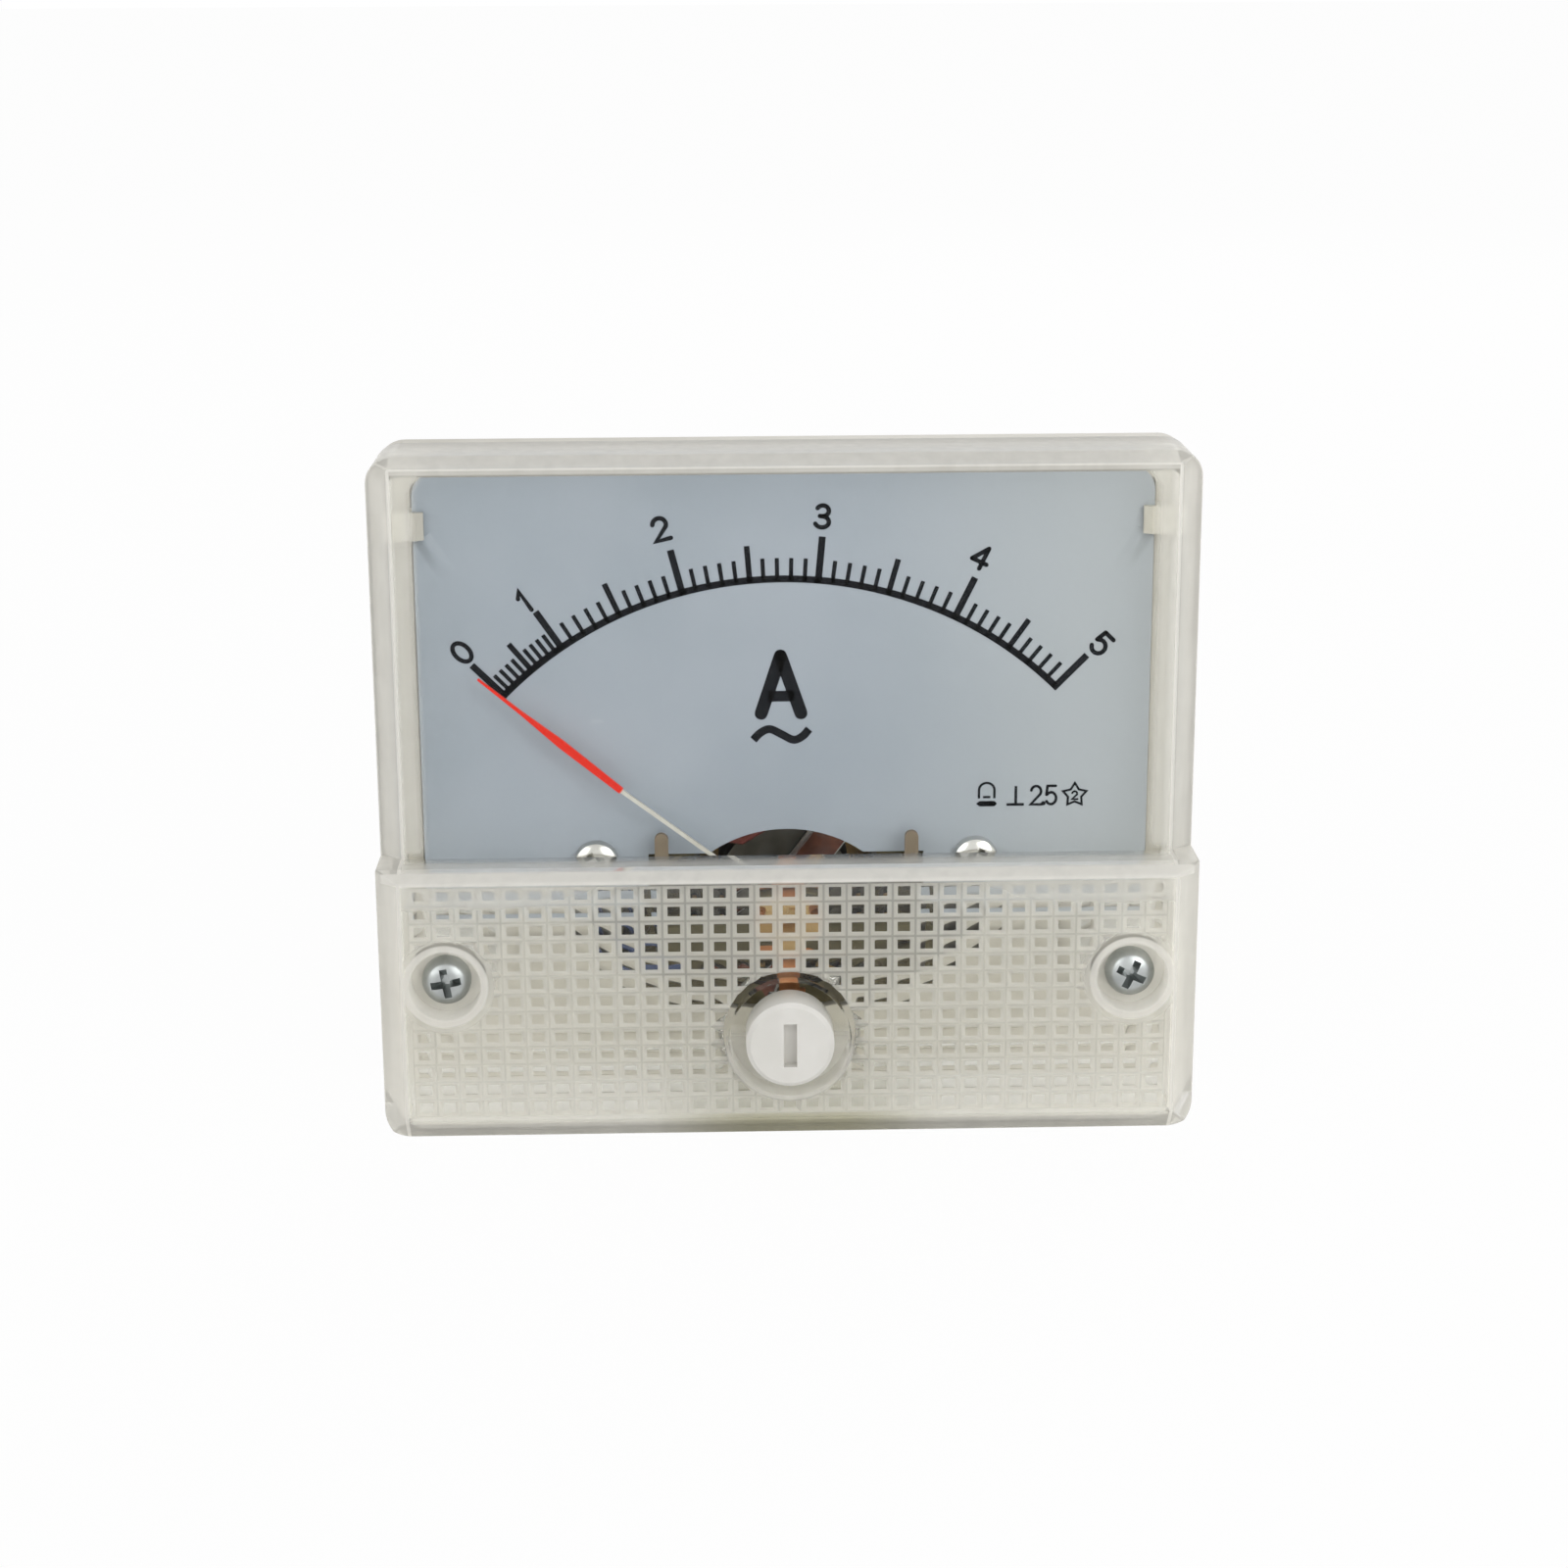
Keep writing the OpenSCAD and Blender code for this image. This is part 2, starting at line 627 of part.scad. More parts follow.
module balance_weights() {
  r_tail = 0.85;
  r_side = 0.6;
  r_in = pointer_t / 2 + hole_gap;
  color([0.75, 0.62, 0.36]) at_pivot(rest_angle) {
    difference() {
      translate([0, y_pointer, -tail_len + 0.2]) cylinder(h = 2.2, r = r_tail);
      translate([-0.3 - hole_gap, y_pointer - r_in, -tail_len - 1]) cube([0.6 + 2 * hole_gap, 2 * r_in, 4]);
    }
    for (s = [-1, 1]) difference() {
      translate([s * 3.8, y_pointer, 0]) rotate([0, 90, 0]) cylinder(h = 1.4, r = r_side, center = true);
      translate([s * 3.8 - 2, y_pointer - r_in, -0.3 - hole_gap]) cube([4, 2 * r_in, 0.6 + 2 * hole_gap]);
    }
  }
}

// A flat spiral ribbon with its collet, in the plane at y
module hairspring(y, turn) {
  steps = 24;
  n = spring_turns * steps;
  collet = 0.9;
  ribbon = 0.12;
  r0 = collet - 0.05;
  function spot(i, side) = let (a = turn * 360 * i / steps, r = r0 + (spring_r - r0) * i / n + side * ribbon / 2)
    [r * sin(a), r * cos(a)];
  slab(y - spring_h / 2, y + spring_h / 2) polygon(concat([for (i = [0:n]) spot(i, 1)], [for (i = [n:-1:0]) spot(i, -1)]));
  difference() {
    rod(0, 0, y - spring_h / 2 - 0.05, y + spring_h / 2 + 0.05, collet);
    rod(0, 0, y - 1, y + 1, staff_r + hole_gap);
  }
}

module front_hairspring() {
  color([0.72, 0.55, 0.3]) at_pivot(0) hairspring(y_spring, 1);
}

module rear_hairspring() {
  color([0.72, 0.55, 0.3]) at_pivot(180) hairspring(y_rear_spring, -1);
}

// A rectangular frame round the core, seen along Z
module coil_ring(in_x, in_y0, in_y1, t, half) {
  difference() {
    translate([-in_x - t, in_y0 - t, -half]) cube([2 * (in_x + t), in_y1 - in_y0 + 2 * t, 2 * half]);
    translate([-in_x, in_y0, -half - 1]) cube([2 * in_x, in_y1 - in_y0, 2 * half + 2]);
  }
}

module coil_former() {
  color([0.78, 0.78, 0.78]) at_pivot(rest_angle) coil_ring(former_in, coil_y0, coil_y1, former_t, coil_half);
}

module coil_winding() {
  color([0.62, 0.32, 0.16]) at_pivot(rest_angle)
    coil_ring(former_out, coil_y0 - former_t, coil_y1 + former_t, winding_t, coil_half - 0.25);
}

// Pivot staffs: a foot cemented on the winding, a round staff and a hardened point
module coil_pivots() {
  y_mouth = y_bridge + jewel_tip;
  y_rear_mouth = y_rear_bridge - jewel_tip;
  color([0.6, 0.61, 0.63]) at_pivot(rest_angle) {
    rod(0, 0, coil_front - foot_t, coil_front, coil_half - 0.3);
    rod(0, 0, y_mouth, coil_front - foot_t + eps, staff_r);
    taper(0, 0, y_mouth - point_len, y_mouth + eps, 0.06, staff_r);
    rod(0, 0, coil_back, coil_back + foot_t, coil_half - 0.3);
    rod(0, 0, coil_back + foot_t - eps, y_rear_mouth, staff_r);
    taper(0, 0, y_rear_mouth - eps, y_rear_mouth + point_len, staff_r, 0.06);
  }
}

module zero_lever() {
  fork_w = 2 * (pin_r + fork_gap + fork_wall);
  fork_end = fork_r + 1.2;
  color([0.76, 0.48, 0.27]) at_pivot(0) {
    slab(y_lever_front, y_lever) difference() {
      union() {
        circle(r = jewel_r + 1.3);
        arm(lever_reach, 2.6);
        translate([-0.9, -fork_r]) square([1.8, fork_r]);
        translate([-fork_w / 2, -fork_end]) square([fork_w, 2.4]);
      }
      circle(r = jewel_r + turn_gap);
      translate([-pin_r - fork_gap, -fork_end - 1]) square([2 * (pin_r + fork_gap), 2.8]);
    }
    translate([-0.7, y_lever - eps, tab_r]) cube([1.4, y_spring + spring_h / 2 - y_lever, tab_t]);
  }
}

module rear_spring_anchor() {
  color([0.72, 0.6, 0.36])
    translate([-0.7, y_rear_spring - spring_h / 2, pivot_z - tab_r - tab_t])
      cube([1.4, y_rear_bridge - y_rear_spring + spring_h / 2, tab_t]);
}

// Strap across the movement with a pillar at each end
module bridge_strap(y0, y1) {
  difference() {
    slab(y0, y1) difference() {
      union() {
        translate([-pillar_x, pillar_z - 1.6]) square([2 * pillar_x, 3.2]);
        for (s = [-1, 1]) translate([s * pillar_x, pillar_z]) circle(r = 1.6);
        translate([0, pivot_z]) circle(r = jewel_r + 1.7);
        children();
      }
      translate([0, pivot_z]) circle(r = jewel_r + hole_gap);
      for (s = [-1, 1]) translate([s * pillar_x, pillar_z]) circle(r = bridge_screw_r + hole_gap);
    }
  }
}
bridge_screw_r = 0.7;

module pillar(x, y0, y1) {
  difference() {
    rod(x, pillar_z, y0, y1, pillar_r);
    rod(x, pillar_z, y0 - 1, y1 + 1, bridge_screw_r + hole_gap);
  }
}

module front_bridge() {
  color([0.8, 0.68, 0.42]) {
    bridge_strap(y_bridge_front, y_bridge);
    for (s = [-1, 1]) pillar(s * pillar_x, y_bridge - eps, y_frame);
  }
}

module rear_bridge() {
  color([0.8, 0.68, 0.42]) {
    bridge_strap(y_rear_bridge, y_rear_bridge + bridge_t) translate([-1.2, pivot_z - tab_r - 1.2]) square([2.4, tab_r]);
    for (s = [-1, 1]) pillar(s * pillar_x, y_pole_end, y_rear_bridge + eps);
  }
}

module bridge_screws() {
  color([0.7, 0.71, 0.72]) for (s = [-1, 1]) {
    pan_screw(s * pillar_x, pillar_z, y_bridge_front, y_frame + 0.8, bridge_screw_r, 1.35, 0.9);
    translate([0, 2 * (y_rear_bridge + bridge_t), 0]) mirror([0, 1, 0])
      pan_screw(s * pillar_x, pillar_z, y_rear_bridge + bridge_t, y_rear_bridge + bridge_t + bridge_t + rear_gap + 2, bridge_screw_r, 1.35, 0.9);
  }
}

// Screws with a jewelled cup for the pivot points
module jewel_screws() {
  y_mouth = y_bridge + jewel_tip;
  y_rear_mouth = y_rear_bridge - jewel_tip;
  y_out = y_nut - nut_t - jewel_end;
  y_rear_out = y_rear_bridge + bridge_t + nut_t + jewel_end;
  color([0.78, 0.66, 0.4]) {
    difference() {
      rod(0, pivot_z, y_out, y_mouth, jewel_r);
      taper(0, pivot_z, y_mouth - cup_deep, y_mouth + eps, 0.12, cup_r);
      translate([-2, y_out - 1, pivot_z - 0.2]) cube([4, 1.4, 0.4]);
    }
    difference() {
      rod(0, pivot_z, y_rear_mouth, y_rear_out, jewel_r);
      taper(0, pivot_z, y_rear_mouth - eps, y_rear_mouth + cup_deep, cup_r, 0.12);
      translate([-2, y_rear_out - 0.4, pivot_z - 0.2]) cube([4, 1.4, 0.4]);
    }
  }
}

module jewel_nuts() {
  color([0.78, 0.66, 0.4]) {
    difference() {
      hex_bar(0, pivot_z, y_nut - nut_t, y_nut, 2 * jewel_r + 1.6);
      rod(0, pivot_z, y_nut - 2, y_nut + 1, jewel_r + hole_gap);
    }
    difference() {
      hex_bar(0, pivot_z, y_rear_bridge + bridge_t, y_rear_bridge + bridge_t + nut_t, 2 * jewel_r + 1.6);
      rod(0, pivot_z, y_rear_bridge, y_rear_bridge + 4, jewel_r + hole_gap);
    }
  }
}

module magnet() {
  color([0.3, 0.3, 0.31])
    translate([-magnet_hx + hole_gap, y_pole, magnet_z]) cube([2 * (magnet_hx - hole_gap), pole_len, magnet_h]);
}

module pole_pieces() {
  color([0.55, 0.56, 0.55]) for (s = [-1, 1]) difference() {
    slab(y_pole, y_pole_end) intersection() {
      difference() {
        translate([s > 0 ? tip_x : -pole_x, -bore_barrel]) square([pole_x - tip_x, magnet_top + bore_barrel]);
        translate([0, pivot_z]) circle(r = bore_r);
        translate([-magnet_hx, magnet_z - lay_gap]) square([2 * magnet_hx, magnet_h + 2 * lay_gap]);
      }
      circle(r = bore_barrel - 0.8);
    }
    for (z = pole_screw_z)
      rod(s * pole_screw_x, z, y_pole - 1, y_pole + pole_grip + 1, frame_screw_r + hole_gap);
    rod(s * pillar_x, pillar_z, y_pole - 1, y_pole_end + 1, bridge_screw_r + hole_gap);
  }
}

module iron_core() {
  color([0.5, 0.51, 0.52]) rod(0, pivot_z, y_pole + core_inset, y_pole_end - core_inset, core_r);
}

// Brass stems that hold the core between the pole tips, above and below
module core_supports() {
  stem = 1.3;
  color([0.8, 0.66, 0.36]) for (m = [0, 1]) translate([0, 0, pivot_z]) mirror([0, 0, m])
    slab(y_pole + 1.5, y_pole_end - 1.5) difference() {
      union() {
        translate([-stem, core_r - 0.6]) square([2 * stem, bore_r - core_r + 0.8]);
        translate([-tip_x + hole_gap, bore_r]) square([2 * (tip_x - hole_gap), 1.5]);
      }
      circle(r = core_r + hole_gap / 2);
    }
}

module movement_frame() {
  spacer_r = 2;
  color([0.74, 0.74, 0.73]) difference() {
    union() {
      slab(y_frame, y_pole) intersection() {
        union() {
          translate([-bore_barrel, dial_screw_z - frame_strap_low])
            square([2 * bore_barrel, frame_strap_top + frame_strap_low - dial_screw_z]);
          translate([-pole_x - 0.5, -bore_barrel]) square([2 * pole_x + 1, magnet_top + bore_barrel + 0.5]);
        }
        circle(r = bore_barrel - 0.4);
      }
      for (s = [-1, 1]) rod(s * dial_screw_x, dial_screw_z, y_dial_back, y_frame + eps, spacer_r);
    }
    rod(0, pivot_z, y_frame - 1, y_pole + 1, bore_r + 0.6);
    for (s = [-1, 1]) {
      rod(s * dial_screw_x, dial_screw_z, y_dial_back - 1, y_frame + 0.2, dial_screw_r + hole_gap);
      rod(s * frame_screw_x, frame_screw_z, y_frame - 1, y_pole + 1, frame_screw_r + hole_gap);
      rod(s * pillar_x, pillar_z, y_frame - 1, y_pole + 1, bridge_screw_r + hole_gap);
      for (z = pole_screw_z)
        rod(s * pole_screw_x, z, y_frame - 1, y_pole + 1, frame_screw_r + hole_gap);
    }
  }
}

module frame_screws() {
  color([0.7, 0.71, 0.72]) for (s = [-1, 1])
    pan_screw(s * frame_screw_x, frame_screw_z, y_frame, y_pole + frame_grip, frame_screw_r, frame_head_r, frame_head_t);
}

module pole_screws() {
  color([0.7, 0.71, 0.72]) for (s = [-1, 1], z = pole_screw_z)
    pan_screw(s * pole_screw_x, z, y_frame, y_pole + pole_grip, frame_screw_r, pole_head_r, pole_head_t);
}

module circuit_board() {
  color([0.16, 0.4, 0.26]) difference() {
    rod(0, 0, y_board, y_board + board_t, board_r);
    for (s = [-1, 1]) rod(s * terminal_x, 0, y_board - 1, y_board + board_t + 1, terminal_in_r + hole_gap);
    for (x = diode_x, z = diode_z, e = [-1, 1])
      rod(x + e * diode_span, z, y_board - 1, y_board + board_t + 1, diode_wire_r + hole_gap);
  }
}
diode_x = [-6.5, 6.5];
diode_z = [-11.5, -15.3];
diode_span = 3.6;
diode_wire_r = 0.35;
diode_r = 1.3;

module rectifier_diodes() {
  y_axis = y_board - diode_r - 0.2;
  color([0.1, 0.1, 0.11]) for (x = diode_x, z = diode_z) {
    translate([x, y_axis, z]) rotate([0, 90, 0]) cylinder(h = 4.6, r = diode_r, center = true);
    translate([x, y_axis, z]) rotate([0, 90, 0]) cylinder(h = 2 * diode_span, r = diode_wire_r, center = true);
    for (e = [-1, 1]) rod(x + e * diode_span, z, y_axis, y_board + board_t, diode_wire_r);
  }
}

// Stack of E and I laminations with two windows beside the middle limb
module transformer_core() {
  win_d = xfmr_d - 2 * xfmr_side;
  color([0.4, 0.4, 0.41]) translate([0, y_xfmr, xfmr_z - xfmr_stack / 2]) linear_extrude(xfmr_stack) difference() {
    translate([-xfmr_w / 2, 0]) square([xfmr_w, xfmr_d]);
    for (s = [-1, 1]) translate([s * xfmr_w / 4 - (xfmr_w / 2 - xfmr_limb / 2 - xfmr_side) / 2, xfmr_side])
      square([xfmr_w / 2 - xfmr_limb / 2 - xfmr_side, win_d]);
  }
}

module transformer_winding() {
  win_d = xfmr_d - 2 * xfmr_side;
  build = xfmr_w / 2 - xfmr_limb / 2 - xfmr_side - 2 * lay_gap;
  out_x = xfmr_limb + 2 * build;
  out_z = xfmr_stack + 2 * build;
  color([0.75, 0.45, 0.22]) translate([0, y_xfmr + xfmr_d / 2, xfmr_z]) rotate([90, 0, 0])
    linear_extrude(win_d - 2 * lay_gap, center = true) difference() {
      round_rect(out_x, out_z, 1.6);
      square([xfmr_limb + 2 * hole_gap, xfmr_stack + 2 * hole_gap], center = true);
    }
}

// A round wire along a route, as one closed skin
function unit(v) = v / norm(v);
function ring_at(route, i, r, n) = let (
  last = len(route) - 1,
  t = unit(route[min(i + 1, last)] - route[max(i - 1, 0)]),
  u = unit(cross(t, [0.2, 0.1, 1])),
  v = cross(t, u))
  [for (k = [0:n - 1]) route[i] + r * (cos(360 * k / n) * u + sin(360 * k / n) * v)];
module wire(route, r) {
  n = 8;
  m = len(route);
  skin = [for (i = [0:m - 1], k = [0:n - 1]) let (a = i * n + k, b = i * n + (k + 1) % n)
    each (i < m - 1 ? [[a, a + n, b], [b, a + n, b + n]] : [])];
  polyhedron(
    points = [for (i = [0:m - 1]) each ring_at(route, i, r, n)],
    faces = concat(skin, [[for (k = [0:n - 1]) k]], [[for (k = [n - 1:-1:0]) (m - 1) * n + k]]));
}

module red_lead() {
  color([0.65, 0.18, 0.12]) wire(red_route, lead_r);
}

module blue_lead() {
  color([0.22, 0.3, 0.5]) wire(blue_route, lead_r);
}

// Terminal studs: an inner thread for the nuts, a hexagon collar behind the barrel and a free end for the lugs
module terminal_studs() {
  color([0.8, 0.67, 0.38]) for (s = [-1, 1]) {
    rod(s * terminal_x, 0, y_board - terminal_nut_t - 0.6, y_collar_seat + eps, terminal_in_r);
    hex_bar(s * terminal_x, 0, y_collar_seat, y_lug_seat, terminal_af);
    rod(s * terminal_x, 0, y_lug_seat - eps, y_terminal - thread_end, terminal_r);
    taper(s * terminal_x, 0, y_terminal - thread_end - eps, y_terminal, terminal_r, terminal_r - thread_end);
  }
}

module ring_nut(x, z, y0, y1, af, r) {
  difference() {
    hex_bar(x, z, y0, y1, af);
    rod(x, z, y0 - 1, y1 + 1, r + hole_gap);
  }
}

module ring_washer(x, z, y0, y1, r_out, r) {
  difference() {
    rod(x, z, y0, y1, r_out);
    rod(x, z, y0 - 1, y1 + 1, r + hole_gap);
  }
}

// On each stud one nut draws the collar against the barrel, and one holds the circuit board
module terminal_nuts() {
  color([0.82, 0.7, 0.42]) for (s = [-1, 1]) {
    ring_nut(s * terminal_x, 0, y_board - terminal_nut_t, y_board, terminal_af, terminal_in_r);
    ring_nut(s * terminal_x, 0, y_board + board_t, y_floor, terminal_af, terminal_in_r);
  }
}

module terminal_washers() {
  color([0.8, 0.72, 0.5]) for (s = [-1, 1])
    ring_washer(s * terminal_x, 0, y_pad, y_collar_seat, terminal_washer_r, terminal_in_r);
}

// Mounting studs: a head moulded into the flange, flush with its back, and a free thread
module mounting_studs() {
  color([0.7, 0.71, 0.72]) for (s = [-1, 1], t = [-1, 1]) {
    rod(s * stud_x, t * stud_z, y_stud, 0, stud_root_r);
    rod(s * stud_x, t * stud_z, -eps, stud_len - thread_end, stud_r);
    taper(s * stud_x, t * stud_z, stud_len - thread_end - eps, stud_len, stud_r, stud_r - thread_end);
  }
}

front_cover();
base_housing();
cover_screws();
zero_adjuster();
dial_plate();
dial_screws();
pointer_stops();
pointer();
balance_weights();
front_hairspring();
rear_hairspring();
coil_former();
coil_winding();
coil_pivots();
zero_lever();
rear_spring_anchor();
front_bridge();
rear_bridge();
bridge_screws();
jewel_screws();
jewel_nuts();
magnet();
pole_pieces();
iron_core();
core_supports();
movement_frame();
frame_screws();
pole_screws();
circuit_board();
rectifier_diodes();
transformer_core();
transformer_winding();
red_lead();
blue_lead();
terminal_studs();
terminal_nuts();
terminal_washers();
mounting_studs();
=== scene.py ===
# %% [markdown]
# # A rectangular panel ammeter
# The real object is a small meter for a switchboard: a clear moulded cover, a painted dial with a red
# pointer, and a round barrel that goes through the panel. The solids of all its pieces come packed in one
# frame at their real size. This script adds what a solid doesn't have: finishes, print, threads, soft
# edges, light and a camera. The solids could be drawn again here, but then two versions of each piece would
# have to agree.

import json
import math

import bmesh
import bpy
from mathutils import Matrix, Vector


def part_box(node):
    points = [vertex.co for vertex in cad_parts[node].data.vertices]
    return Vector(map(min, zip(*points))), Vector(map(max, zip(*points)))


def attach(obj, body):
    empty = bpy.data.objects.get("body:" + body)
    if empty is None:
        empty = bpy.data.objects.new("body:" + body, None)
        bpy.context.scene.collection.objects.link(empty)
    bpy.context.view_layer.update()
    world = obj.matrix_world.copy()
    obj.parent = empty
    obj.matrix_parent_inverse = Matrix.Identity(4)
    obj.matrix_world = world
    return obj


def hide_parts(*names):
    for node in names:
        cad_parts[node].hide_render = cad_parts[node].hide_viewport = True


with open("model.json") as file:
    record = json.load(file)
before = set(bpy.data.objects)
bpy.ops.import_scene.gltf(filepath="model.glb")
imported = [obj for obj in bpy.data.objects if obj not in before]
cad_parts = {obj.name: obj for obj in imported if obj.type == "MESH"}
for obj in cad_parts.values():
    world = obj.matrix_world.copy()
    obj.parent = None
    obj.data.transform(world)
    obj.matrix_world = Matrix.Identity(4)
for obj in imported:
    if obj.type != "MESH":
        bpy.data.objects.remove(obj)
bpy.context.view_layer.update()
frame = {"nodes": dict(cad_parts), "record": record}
nodes = frame["nodes"]
scene = bpy.context.scene
scene.view_settings.view_transform = "Standard"
MM = 0.001
print("loaded", len(nodes), "nodes")

# %% [markdown]
# ## The camera
# The photograph seems to be taken from a quarter of a metre away, a little above the meter and almost
# straight on. A few focal lengths were tried, and for this one the outline, the ledge and the dial give
# the distance and three angles. A camera could be aimed with a Track To constraint, but a matrix made of
# its three axes also holds the slight roll.

# %% Camera
IMAGE = 1600
FOCAL = 3000
SENSOR = 36
LOWERED = 22
DISTANCE = 243 * MM
ANGLES = (15.3, 1.4, 0.3)
tilt, yaw, roll = (math.radians(angle) for angle in ANGLES)
ahead = Vector((math.sin(yaw) * math.cos(tilt), math.cos(yaw) * math.cos(tilt), -math.sin(tilt)))
level_right = Vector((math.cos(yaw), -math.sin(yaw), 0))
level_up = Vector((math.sin(yaw) * math.sin(tilt), math.cos(yaw) * math.sin(tilt), math.cos(tilt)))
camera_right = level_right * math.cos(roll) - level_up * math.sin(roll)
camera_up = level_right * math.sin(roll) + level_up * math.cos(roll)
lens = bpy.data.cameras.new("camera")
lens.sensor_width = SENSOR
lens.lens = SENSOR * FOCAL / IMAGE
lens.shift_y = -LOWERED / IMAGE
lens.clip_start = 0.01
camera = bpy.data.objects.new("camera", lens)
turn = Matrix((camera_right, camera_up, -ahead)).transposed()
camera.matrix_world = Matrix.Translation(-DISTANCE * ahead) @ turn.to_4x4()
scene.collection.objects.link(camera)
scene.camera = camera
print("camera at", [round(value, 4) for value in camera.location])

# %% [markdown]
# ## Shader maths as Python
# A finish is a small net of nodes. Drawn by hand in the editor it is hard to read again, so here a socket
# is wrapped in a class whose operators add the Math nodes. One method adds every other node. It takes the
# type, then the settings, then what goes into the sockets, because some settings change which sockets a
# node has.


# %% Sockets with operators
class Wire:
    """An output socket that can be used in sums."""

    def __init__(self, net, socket):
        self.net = net
        self.socket = socket

    def join(self, operation, left, right):
        """A Math node for numbers, or a Vector Math node where a vector or a colour takes part."""
        wires = [side for side in (left, right) if isinstance(side, Wire)]
        plain = all(wire.socket.type == "VALUE" for wire in wires)
        kind = "ShaderNodeMath" if plain else "ShaderNodeVectorMath"
        return self.net.add(kind, {"operation": operation}, {0: left, 1: right})

    def __add__(self, other):
        return self.join("ADD", self, other)

    def __radd__(self, other):
        return self.join("ADD", other, self)

    def __sub__(self, other):
        return self.join("SUBTRACT", self, other)

    def __rsub__(self, other):
        return self.join("SUBTRACT", other, self)

    def __mul__(self, other):
        return self.join("MULTIPLY", self, other)

    def __rmul__(self, other):
        return self.join("MULTIPLY", other, self)

    def __truediv__(self, other):
        return self.join("DIVIDE", self, other)

    def __pow__(self, other):
        return self.join("POWER", self, other)

    def __gt__(self, other):
        return self.join("GREATER_THAN", self, other)


# %% Nets of nodes
class Net:
    """A node tree with one method that adds nodes, and shortcuts that many finishes share."""

    def __init__(self, tree):
        self.tree = tree

    def feed(self, socket, value):
        """Links a wire to a socket, or writes a plain value into it."""
        if isinstance(value, Wire):
            self.tree.links.new(value.socket, socket)
        elif socket.type in ("VECTOR", "RGBA") and not hasattr(value, "__len__"):
            socket.default_value = [value] * len(socket.default_value)
        else:
            socket.default_value = value

    def add(self, kind, settings=None, inputs=None, out=0):
        """Adds a node of this type: first its settings, then its inputs. Gives one output as a wire."""
        node = self.tree.nodes.new(kind)
        for name, value in (settings or {}).items():
            setattr(node, name, value)
        for name, value in (inputs or {}).items():
            self.feed(node.inputs[name], value)
        return Wire(self, node.outputs[out])

    def mix(self, factor, first, second):
        """A colour between two colours."""
        return self.add("ShaderNodeMix", {"data_type": "RGBA"}, {0: factor, 6: first, 7: second}, 2)

    def ramp(self, value, low, high):
        """A number that goes smoothly from 0 at low to 1 at high."""
        settings = {"interpolation_type": "SMOOTHSTEP"}
        return self.add("ShaderNodeMapRange", settings, {"Value": value, "From Min": low, "From Max": high})

    def blend(self, factor, first, second):
        """A shader between two shaders."""
        return self.add("ShaderNodeMixShader", inputs={0: factor, 1: first, 2: second})

    def maths(self, operation, first, second=0):
        """A Math node for what has no operator."""
        return self.add("ShaderNodeMath", {"operation": operation}, {0: first, 1: second})

    def larger(self, first, second):
        return self.maths("MAXIMUM", first, second)

    def smaller(self, first, second):
        return self.maths("MINIMUM", first, second)

    def size(self, value):
        return self.maths("ABSOLUTE", value)

    def sine(self, value):
        return self.maths("SINE", value)

    def nearest(self, value):
        """How far a number is from the nearest whole number."""
        return self.maths("PINGPONG", value, 0.5)


# %% Finishes
MM_IN_METRE = 1000


class Finish(Net):
    """A material with a Principled shader, and its places in millimetres."""

    def __init__(self, name):
        self.name = name
        self.material = bpy.data.materials.new("finish_" + name)
        self.material.use_nodes = True
        super().__init__(self.material.node_tree)
        self.shader = self.tree.nodes["Principled BSDF"]
        self.plain = Wire(self, self.shader.outputs[0])
        self.surface = self.tree.nodes["Material Output"].inputs["Surface"]
        self.place = self.add("ShaderNodeTexCoord", out=3) * MM_IN_METRE

    def set(self, **inputs):
        """Sets the shader's sockets. A name is written with _ for a space."""
        for name, value in inputs.items():
            self.feed(self.shader.inputs[name.replace("_", " ")], value)

    def axes(self):
        """X, Y and Z of the place, in millimetres, as three numbers."""
        parted = self.add("ShaderNodeSeparateXYZ", inputs={0: self.place}).socket.node
        return [Wire(self, socket) for socket in parted.outputs]

    def noise(self, scale, detail=2, stretch=(1, 1, 1)):
        """Cloudy numbers round 0.5. The scale counts lumps in a millimetre."""
        vector = self.place * stretch
        return self.add("ShaderNodeTexNoise", inputs={"Vector": vector, "Scale": scale, "Detail": detail})

    def bump(self, height, depth, under=None):
        """A normal for a relief of this depth in millimetres."""
        inputs = {"Height": height, "Distance": depth * MM, "Strength": 1}
        if under is not None:
            inputs["Normal"] = under
        return self.add("ShaderNodeBump", inputs=inputs)


def paint(red, green, blue):
    """A colour as it looks on a screen, from 0 to 255, as the linear values of a shader."""
    seen = [value / 255 for value in (red, green, blue)]
    return [value / 12.92 if value < 0.0405 else ((value + 0.055) / 1.055) ** 2.4 for value in seen] + [1]


print("mid grey is", [round(value, 3) for value in paint(128, 128, 128)])

# %% [markdown]
# ## Floor and light
# The photograph has a white ground and soft light without a hard shadow. A white floor could be made with
# very strong lamps, but then the meter would be too bright. Here the floor and the sky are white only for
# rays that come from the camera, or by way of gloss or clear plastic, and they light the meter at a plain
# level.


# %% Floor and sky
def seen_directly(net):
    """1 for rays from the camera, from a gloss or through clear plastic."""
    path = net.add("ShaderNodeLightPath").socket.node
    names = ("Is Camera Ray", "Is Glossy Ray", "Is Transmission Ray")
    camera_ray, glossy_ray, clear_ray = (Wire(net, path.outputs[name]) for name in names)
    return net.larger(camera_ray, net.larger(glossy_ray, clear_ray))


WHITE = (1, 1, 1, 1)
SKY_LEVEL = 0.5
FLOOR_GLOW = 0.96
FLOOR_HALF = 6

